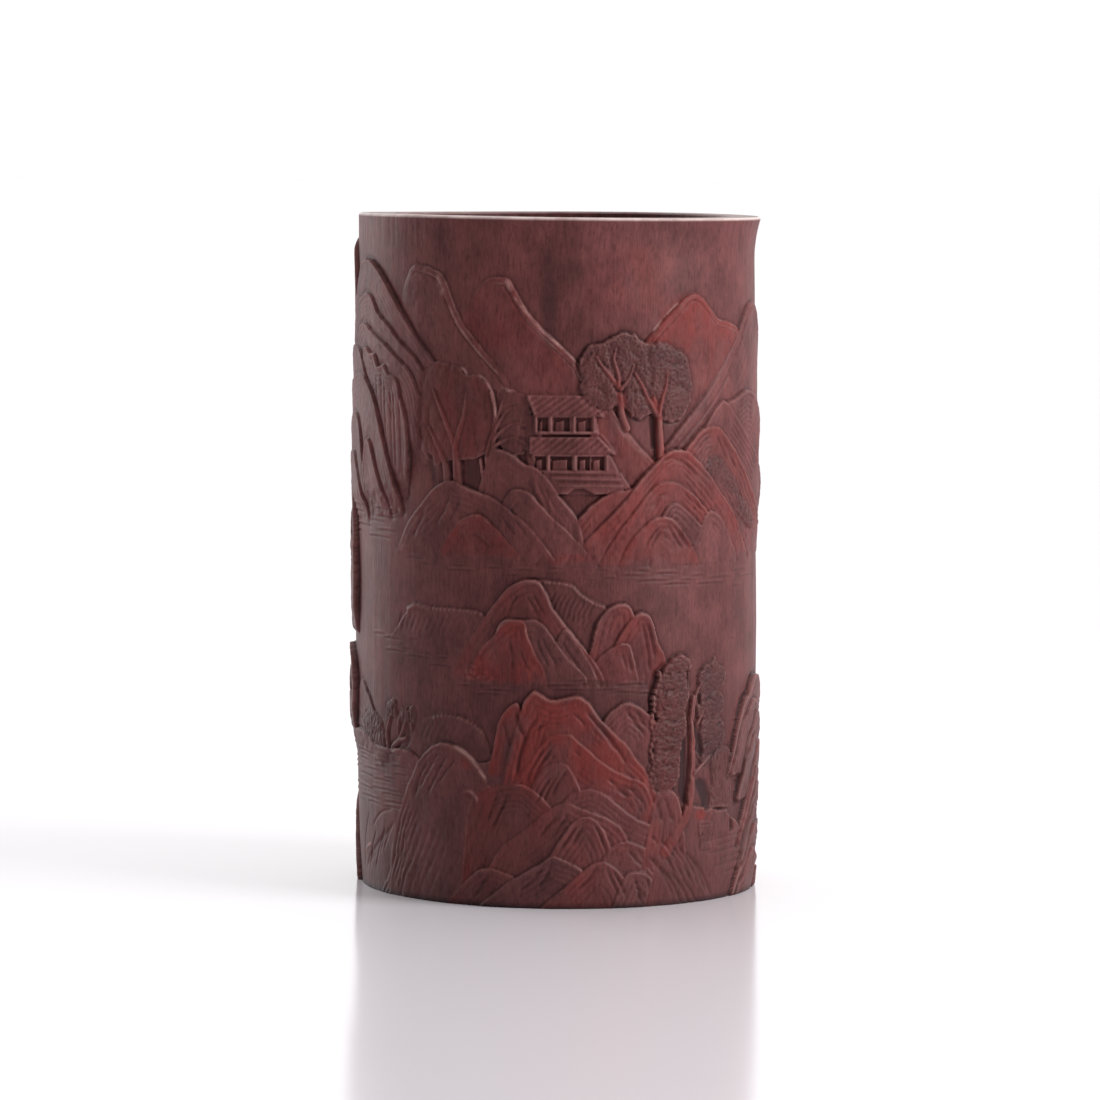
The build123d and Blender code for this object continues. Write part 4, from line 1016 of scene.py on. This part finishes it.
ring, column = np.meshgrid(np.arange(rings), np.arange(COLUMNS), indexing="ij")
next_ring, next_column = (ring + 1) % rings, (column + 1) % COLUMNS
quads = np.stack([ring * COLUMNS + column, ring * COLUMNS + next_column, next_ring * COLUMNS + next_column,
                  next_ring * COLUMNS + column], axis=-1).reshape(-1, 4)

shell = bpy.data.meshes.new("carved_bamboo")
shell.vertices.add(len(vertices))
shell.vertices.foreach_set("co", vertices.ravel().astype(np.float32))
shell.loops.add(quads.size)
shell.loops.foreach_set("vertex_index", quads.ravel().astype(np.int32))
shell.polygons.add(len(quads))
shell.polygons.foreach_set("loop_start", np.arange(0, quads.size, 4, dtype=np.int32))
shell.update(calc_edges=True)

# A cylindrical map: round the pot along U, and along the wall's section along V.
middle_r = ring_r.mean(axis=1)
steps = np.hypot(np.diff(middle_r, append=middle_r[:1]), np.diff(ring_z.mean(axis=1), append=0.0))
along_section = np.concatenate([[0.0], steps.cumsum()]) / steps.sum()
u0, v0 = column / COLUMNS, along_section[ring]
u1, v1 = (column + 1) / COLUMNS, along_section[ring + 1]
flat_map = np.stack([u0, v0, u1, v0, u1, v1, u0, v1], axis=-1).reshape(-1, 2) * 0.996 + 0.002
shell.uv_layers.new(name="OFBake").data.foreach_set("uv", flat_map.ravel().astype(np.float32))

# cavity and hollow, below, drive the painted shade in the carving's crevices and hollows
CREVICE, HOLLOW = 1.1, 6.0  # how far round each point its depth is compared
blank = np.zeros((len(inside), COLUMNS))
# where the lip's painted reflection lies: the top of the outer wall, and at 0.3 the lip's top inside
lip_edge_sheen = smoothstep((np.broadcast_to(row_heights[:, None], relief.shape) - HEIGHT + 0.7) / 0.4)
lip_top_sheen = 0.3 * (np.arange(len(inside)) < LIP_RINGS + ROUND_RINGS - 2)
marks_and_painted_light = {
    "cavity": np.vstack([relief - blurred(relief, CREVICE), blank]),
    "hollow": np.vstack([relief - blurred(relief, HOLLOW), blank]),
    "redness": np.vstack([blurred(redness, 1.0), blank]),
    "soot_and_shade": np.vstack([blurred(soot_and_shade_map, 0.6), blank]),
    "rim_wear_and_highlight": np.vstack([rim_wear_and_highlight_map, blank]),
    "bore": np.vstack([np.zeros(relief.shape), blank + 1]),
    "lip_sheen": np.vstack([lip_edge_sheen, blank + lip_top_sheen[:, None]]),
}
for name, field in marks_and_painted_light.items():
    shell.attributes.new(name, "FLOAT", "POINT").data.foreach_set("value", field.ravel().astype(np.float32))
shell.polygons.foreach_set("use_smooth", np.ones(len(quads), bool))
shell.update()
wall = bpy.data.objects.new("carved_bamboo_wall", shell)
bpy.context.scene.collection.objects.link(wall)

# ---------------------------------------------------------------- materials
STAIN_DARK, STAIN_LIGHT = (0.092, 0.0275, 0.0275), (0.16, 0.0495, 0.0475)
DARKER_TOWARDS_FOOT, FOOT_CONTACT_SHADE = (0.046, 0.019, 0.021), (0.012, 0.005, 0.006)
STAIN_RED = (0.2, 0.021, 0.015)
SOOT_AND_SHADE = (0.026, 0.011, 0.012)
WORN_AND_HIGHLIT = (0.32, 0.165, 0.15)
BORE_DARK, BORE_LIGHT = (0.045, 0.014, 0.014), (0.13, 0.04, 0.04)
LIP_SHEEN_DARK, LIP_SHEEN_LIGHT = (0.42, 0.28, 0.26), (0.8, 0.66, 0.63)
WHITE = (1.0, 1.0, 1.0)


class Graph:
    """A material's nodes, with the shader's own sockets set by name."""

    def __init__(self, name, **shader):
        self.material = bpy.data.materials.new(name)
        self.material.use_nodes = True
        self.tree = self.material.node_tree
        self.shader = self.tree.nodes["Principled BSDF"]
        for socket, value in shader.items():
            self.shader.inputs[socket.replace("_", " ")].default_value = value

    def add(self, kind, *inputs, **settings):
        """Adds a node. Each input is a (socket, value) pair, its value a constant or another node's output."""
        made = self.tree.nodes.new("ShaderNode" + kind)
        for name, value in settings.items():
            setattr(made, name, value)
        for socket, value in inputs:
            if isinstance(value, bpy.types.NodeSocket):
                self.tree.links.new(value, made.inputs[socket])
            else:
                made.inputs[socket].default_value = value
        return made

    def grain(self, scale, stretch, detail=3.0, rough=0.6):
        """Noise from 0 to 1 on the object's own coordinates, drawn out along Z by stretch."""
        place = self.add("TexCoord").outputs["Object"]
        drawn = self.add("Mapping", ("Vector", place), ("Scale", (1, 1, 1 / stretch)))
        return self.add("TexNoise", ("Vector", drawn.outputs[0]), ("Scale", scale), ("Detail", detail),
                        ("Roughness", rough)).outputs["Fac"]

    def spread(self, value, low, high, to_low=0.0, to_high=1.0):
        """Carries a value from one range to another, and holds it there."""
        return self.add("MapRange", ("Value", value), ("From Min", low), ("From Max", high),
                        ("To Min", to_low), ("To Max", to_high)).outputs[0]

    def ramp(self, value, *stops):
        """A colour ramp whose stops are (place, colour) pairs."""
        made = self.add("ValToRGB", ("Fac", value))
        for count, (place, colour) in enumerate(stops):
            stop = made.color_ramp.elements[count] if count < 2 else made.color_ramp.elements.new(place)
            stop.position = place
            stop.color = (*colour, 1)
        return made.outputs["Color"]

    def mix(self, share, first, second, how="MIX"):
        made = self.add("Mix", ("Factor", share), data_type="RGBA", blend_type=how)
        for socket, value in ((6, first), (7, second)):
            if isinstance(value, bpy.types.NodeSocket):
                self.tree.links.new(value, made.inputs[socket])
            else:
                made.inputs[socket].default_value = (*value, 1)
        return made.outputs[2]

    def math(self, how, first, second=0.0):
        return self.add("Math", (0, first), (1, second), operation=how).outputs[0]

    def attribute(self, name):
        return self.add("Attribute", attribute_name=name).outputs["Fac"]

    def done(self, colour, roughness, bump, depth, strength=1.0):
        links = self.tree.links
        links.new(colour, self.shader.inputs["Base Color"])
        links.new(roughness, self.shader.inputs["Roughness"])
        raised = self.add("Bump", ("Height", bump), ("Distance", depth), ("Strength", strength))
        links.new(raised.outputs[0], self.shader.inputs["Normal"])
        return self.material


def carved_bamboo():
    g = Graph("carved_bamboo_stained", IOR=1.5, Specular_IOR_Level=0.17)
    blotch = g.grain(120, 1.5, 6, 0.7)
    fibre = g.grain(2300, 10, 3)
    speck = g.grain(1500, 3, 3)
    colour = g.ramp(g.spread(blotch, 0.36, 0.64), (0.0, STAIN_DARK), (1.0, STAIN_LIGHT))
    above_foot = g.add("SeparateXYZ", ("Vector", g.add("TexCoord").outputs["Object"])).outputs["Z"]
    # the colour darkens towards the bottom of the wall
    colour = g.mix(g.spread(above_foot, 0.0, 0.1, 0.38, 0.0), colour, DARKER_TOWARDS_FOOT)
    # painted shade: a dark contact line along the foot's lowest millimetre
    colour = g.mix(g.spread(above_foot, 0.0003, 0.0016, 0.85, 0.0), colour, FOOT_CONTACT_SHADE)
    red = g.spread(g.math("MULTIPLY", g.attribute("redness"), g.spread(g.grain(150, 2, 3), 0.3, 0.65)), 0.0,
                   0.55)
    colour = g.mix(g.math("MULTIPLY", red, 0.55), colour, STAIN_RED)
    colour = g.mix(1.0, colour, g.ramp(fibre, (0.3, (0.86, 0.84, 0.84)), (0.68, (1.1, 1.1, 1.1))), "MULTIPLY")
    colour = g.mix(0.6, colour, g.ramp(speck, (0.34, (0.6, 0.55, 0.55)), (0.5, WHITE)), "MULTIPLY")
    # painted shade: the colour darkens in the crevices of the carving, where shade falls
    crevice_shade = g.spread(g.attribute("cavity"), -0.55, 0.0)
    # painted shade: deep darkens the colour over the wider hollows round the raised masses
    deep = g.spread(g.attribute("hollow"), -0.8, 0.1)
    colour = g.mix(1.0, colour, g.ramp(crevice_shade, (0.0, (0.36, 0.28, 0.3)), (1.0, WHITE)), "MULTIPLY")
    colour = g.mix(1.0, colour, g.ramp(deep, (0.0, (0.74, 0.68, 0.7)), (1.0, WHITE)), "MULTIPLY")
    # soot and painted shade: the dark colour of smears and crowns, and the painted shade in pits and slots
    colour = g.mix(g.math("MULTIPLY", g.attribute("soot_and_shade"), 0.88), colour, SOOT_AND_SHADE)
    # painted highlight, partly wear: raised places and bright rims are mixed towards a pale pink, the sheen
    # light leaves on them
    broken_rim_wear_and_highlight = g.math("MULTIPLY", g.attribute("rim_wear_and_highlight"), g.spread(g.grain(260, 1, 3), 0.35, 0.62))
    proud = g.spread(g.attribute("cavity"), 0.08, 0.45, 0.0, 0.35)
    wear_and_highlight = g.math("MAXIMUM", proud, g.math("MULTIPLY", broken_rim_wear_and_highlight, 0.7))
    colour = g.mix(wear_and_highlight, colour, WORN_AND_HIGHLIT)
    inner = g.ramp(g.grain(500, 20, 3), (0.3, BORE_DARK), (0.7, BORE_LIGHT))
    colour = g.mix(g.attribute("bore"), colour, inner)
    # painted reflection: the lip's top is coloured pale, the white of the room it mirrors; it is also made
    # glossier
    colour = g.mix(g.attribute("lip_sheen"), colour, g.ramp(blotch, (0.3, LIP_SHEEN_DARK), (0.7, LIP_SHEEN_LIGHT)))
    roughness = g.spread(g.attribute("lip_sheen"), 0.0, 1.0, g.spread(fibre, 0.2, 0.8, 0.42, 0.6), 0.22)
    return g.done(colour, roughness, g.math("ADD", fibre, g.math("MULTIPLY", speck, 0.5)), 0.00006, 0.6)


def board_wood():
    g = Graph("board_wood_plain", IOR=1.5)
    place = g.add("TexCoord").outputs["Object"]
    drawn = g.add("Mapping", ("Vector", place), ("Scale", (1, 0.06, 1)))
    long_grain = g.add("TexNoise", ("Vector", drawn.outputs[0]), ("Scale", 900.0),
                       ("Detail", 4.0)).outputs["Fac"]
    rings_in = g.add("TexWave", ("Vector", drawn.outputs[0]), ("Scale", 60.0), ("Distortion", 6.0),
                     ("Detail", 2.0), wave_type="BANDS").outputs["Fac"]
    colour = g.ramp(long_grain, (0.3, (0.045, 0.02, 0.014)), (0.72, (0.16, 0.08, 0.05)))
    colour = g.mix(0.5, colour, g.ramp(rings_in, (0.2, (0.6, 0.55, 0.5)), (0.8, (1.1, 1.1, 1.1))), "MULTIPLY")
    return g.done(colour, g.spread(long_grain, 0.2, 0.8, 0.5, 0.68), long_grain, 0.0001, 0.6)


def pin_bamboo():
    g = Graph("pin_bamboo_pale", IOR=1.5)
    place = g.add("TexCoord").outputs["Object"]
    bundles = g.add("TexVoronoi", ("Vector", place), ("Scale", 3500.0)).outputs["Distance"]
    colour = g.ramp(bundles, (0.15, (0.12, 0.06, 0.03)), (0.45, (0.36, 0.22, 0.11)))
    return g.done(colour, g.spread(bundles, 0.0, 0.6, 0.62, 0.48), bundles, 0.00005, 0.5)


def seal_lacquer():
    g = Graph("seal_lacquer_dark", IOR=1.5, Coat_Weight=0.5, Coat_Roughness=0.15)
    lumps = g.grain(420, 1, 3)
    colour = g.ramp(lumps, (0.3, (0.018, 0.006, 0.005)), (0.7, (0.05, 0.014, 0.01)))
    return g.done(colour, g.spread(lumps, 0.2, 0.8, 0.22, 0.4), lumps, 0.0002, 0.5)


def dress(thing, finish):
    thing.data.materials.clear()
    thing.data.materials.append(finish)


dress(wall, carved_bamboo())
dress(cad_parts["base_board"], board_wood())
dress(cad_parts["base_pins"], pin_bamboo())
dress(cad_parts["lacquer_seal"], seal_lacquer())
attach(wall, "root")
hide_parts("carved_wall")

# ---------------------------------------------------------------- floor, light and camera, in metres
FLOOR_SIZE = 40.0
BACKDROP_DARK, BACKDROP_BRIGHT = 0.1, 1.2  # what the glossy floor and pot see of the room
BACKDROP_TILT = 0.45
CAMERA_PLACE = (0, -1.25407, 0.17672)
PITCH, ROLL, YAW = 0.07805, 0.0100, 0.00117  # radians
LENS, SENSOR = 174.3, 36
bpy.ops.mesh.primitive_plane_add(size=FLOOR_SIZE, location=(0, 0, 0))
floor = bpy.context.object
floor.name = "studio_floor"
gloss = Graph("floor_white", Base_Color=(0.82, 0.78, 0.82, 1), Roughness=0.16, IOR=1.75)
dress(floor, gloss.material)

scene = bpy.context.scene
scene.world = scene.world or bpy.data.worlds.new("studio")
scene.world.use_nodes = True
sky = scene.world.node_tree
facing = sky.nodes.new("ShaderNodeTexCoord")
parts = sky.nodes.new("ShaderNodeSeparateXYZ")
backdrop = sky.nodes.new("ShaderNodeMapRange")
seen = sky.nodes.new("ShaderNodeLightPath")
brightest = sky.nodes.new("ShaderNodeMath")
brightest.operation = "MAXIMUM"
backdrop.inputs["From Min"].default_value = -1.0
backdrop.inputs["To Min"].default_value = BACKDROP_DARK
backdrop.inputs["To Max"].default_value = BACKDROP_BRIGHT
tall = sky.nodes.new("ShaderNodeMath")
tall.operation = "MULTIPLY_ADD"
tall.inputs[1].default_value = BACKDROP_TILT
sky.links.new(facing.outputs["Generated"], parts.inputs[0])
sky.links.new(parts.outputs["Z"], tall.inputs[0])
sky.links.new(parts.outputs["Y"], tall.inputs[2])
sky.links.new(tall.outputs[0], backdrop.inputs["Value"])
sky.links.new(backdrop.outputs[0], brightest.inputs[0])
sky.links.new(seen.outputs["Is Camera Ray"], brightest.inputs[1])
sky.links.new(brightest.outputs[0], sky.nodes["Background"].inputs["Strength"])
sky.nodes["Background"].inputs["Color"].default_value = (1, 1, 1, 1)
scene.view_settings.view_transform = "Standard"
scene.view_settings.look = "None"


def softbox(name, place, size, power):
    """A square area light that faces the middle of the pot."""
    lamp = bpy.data.lights.new(name, "AREA")
    lamp.size = size
    lamp.energy = power
    holder = bpy.data.objects.new(name, lamp)
    holder.location = place
    holder.rotation_euler = (Vector((0, 0, HEIGHT / 2 * MM)) - Vector(place)).to_track_quat("-Z",
                                                                                            "Y").to_euler()
    scene.collection.objects.link(holder)


softbox("key", (1.0, -0.4, 0.55), 0.6, 13.4)
softbox("fill", (-1.0, 0.65, 0.3), 0.7, 5.0)

camera_data = bpy.data.cameras.new("camera")
camera = bpy.data.objects.new("camera", camera_data)
scene.collection.objects.link(camera)
scene.camera = camera
level_right = Vector((cos(YAW), sin(YAW), 0))
level_ahead = Vector((-sin(YAW), cos(YAW), 0))
ahead = level_ahead * cos(PITCH) - Vector((0, 0, sin(PITCH)))
up = level_ahead * sin(PITCH) + Vector((0, 0, cos(PITCH)))
side = level_right * cos(ROLL) + up * sin(ROLL)
top = up * cos(ROLL) - level_right * sin(ROLL)
turned = Matrix((side, top, -ahead)).transposed().to_4x4()
camera.matrix_world = Matrix.Translation(CAMERA_PLACE) @ turned
camera_data.sensor_width = SENSOR
camera_data.lens = LENS
camera_data.clip_start = 0.05
camera_data.clip_end = 20
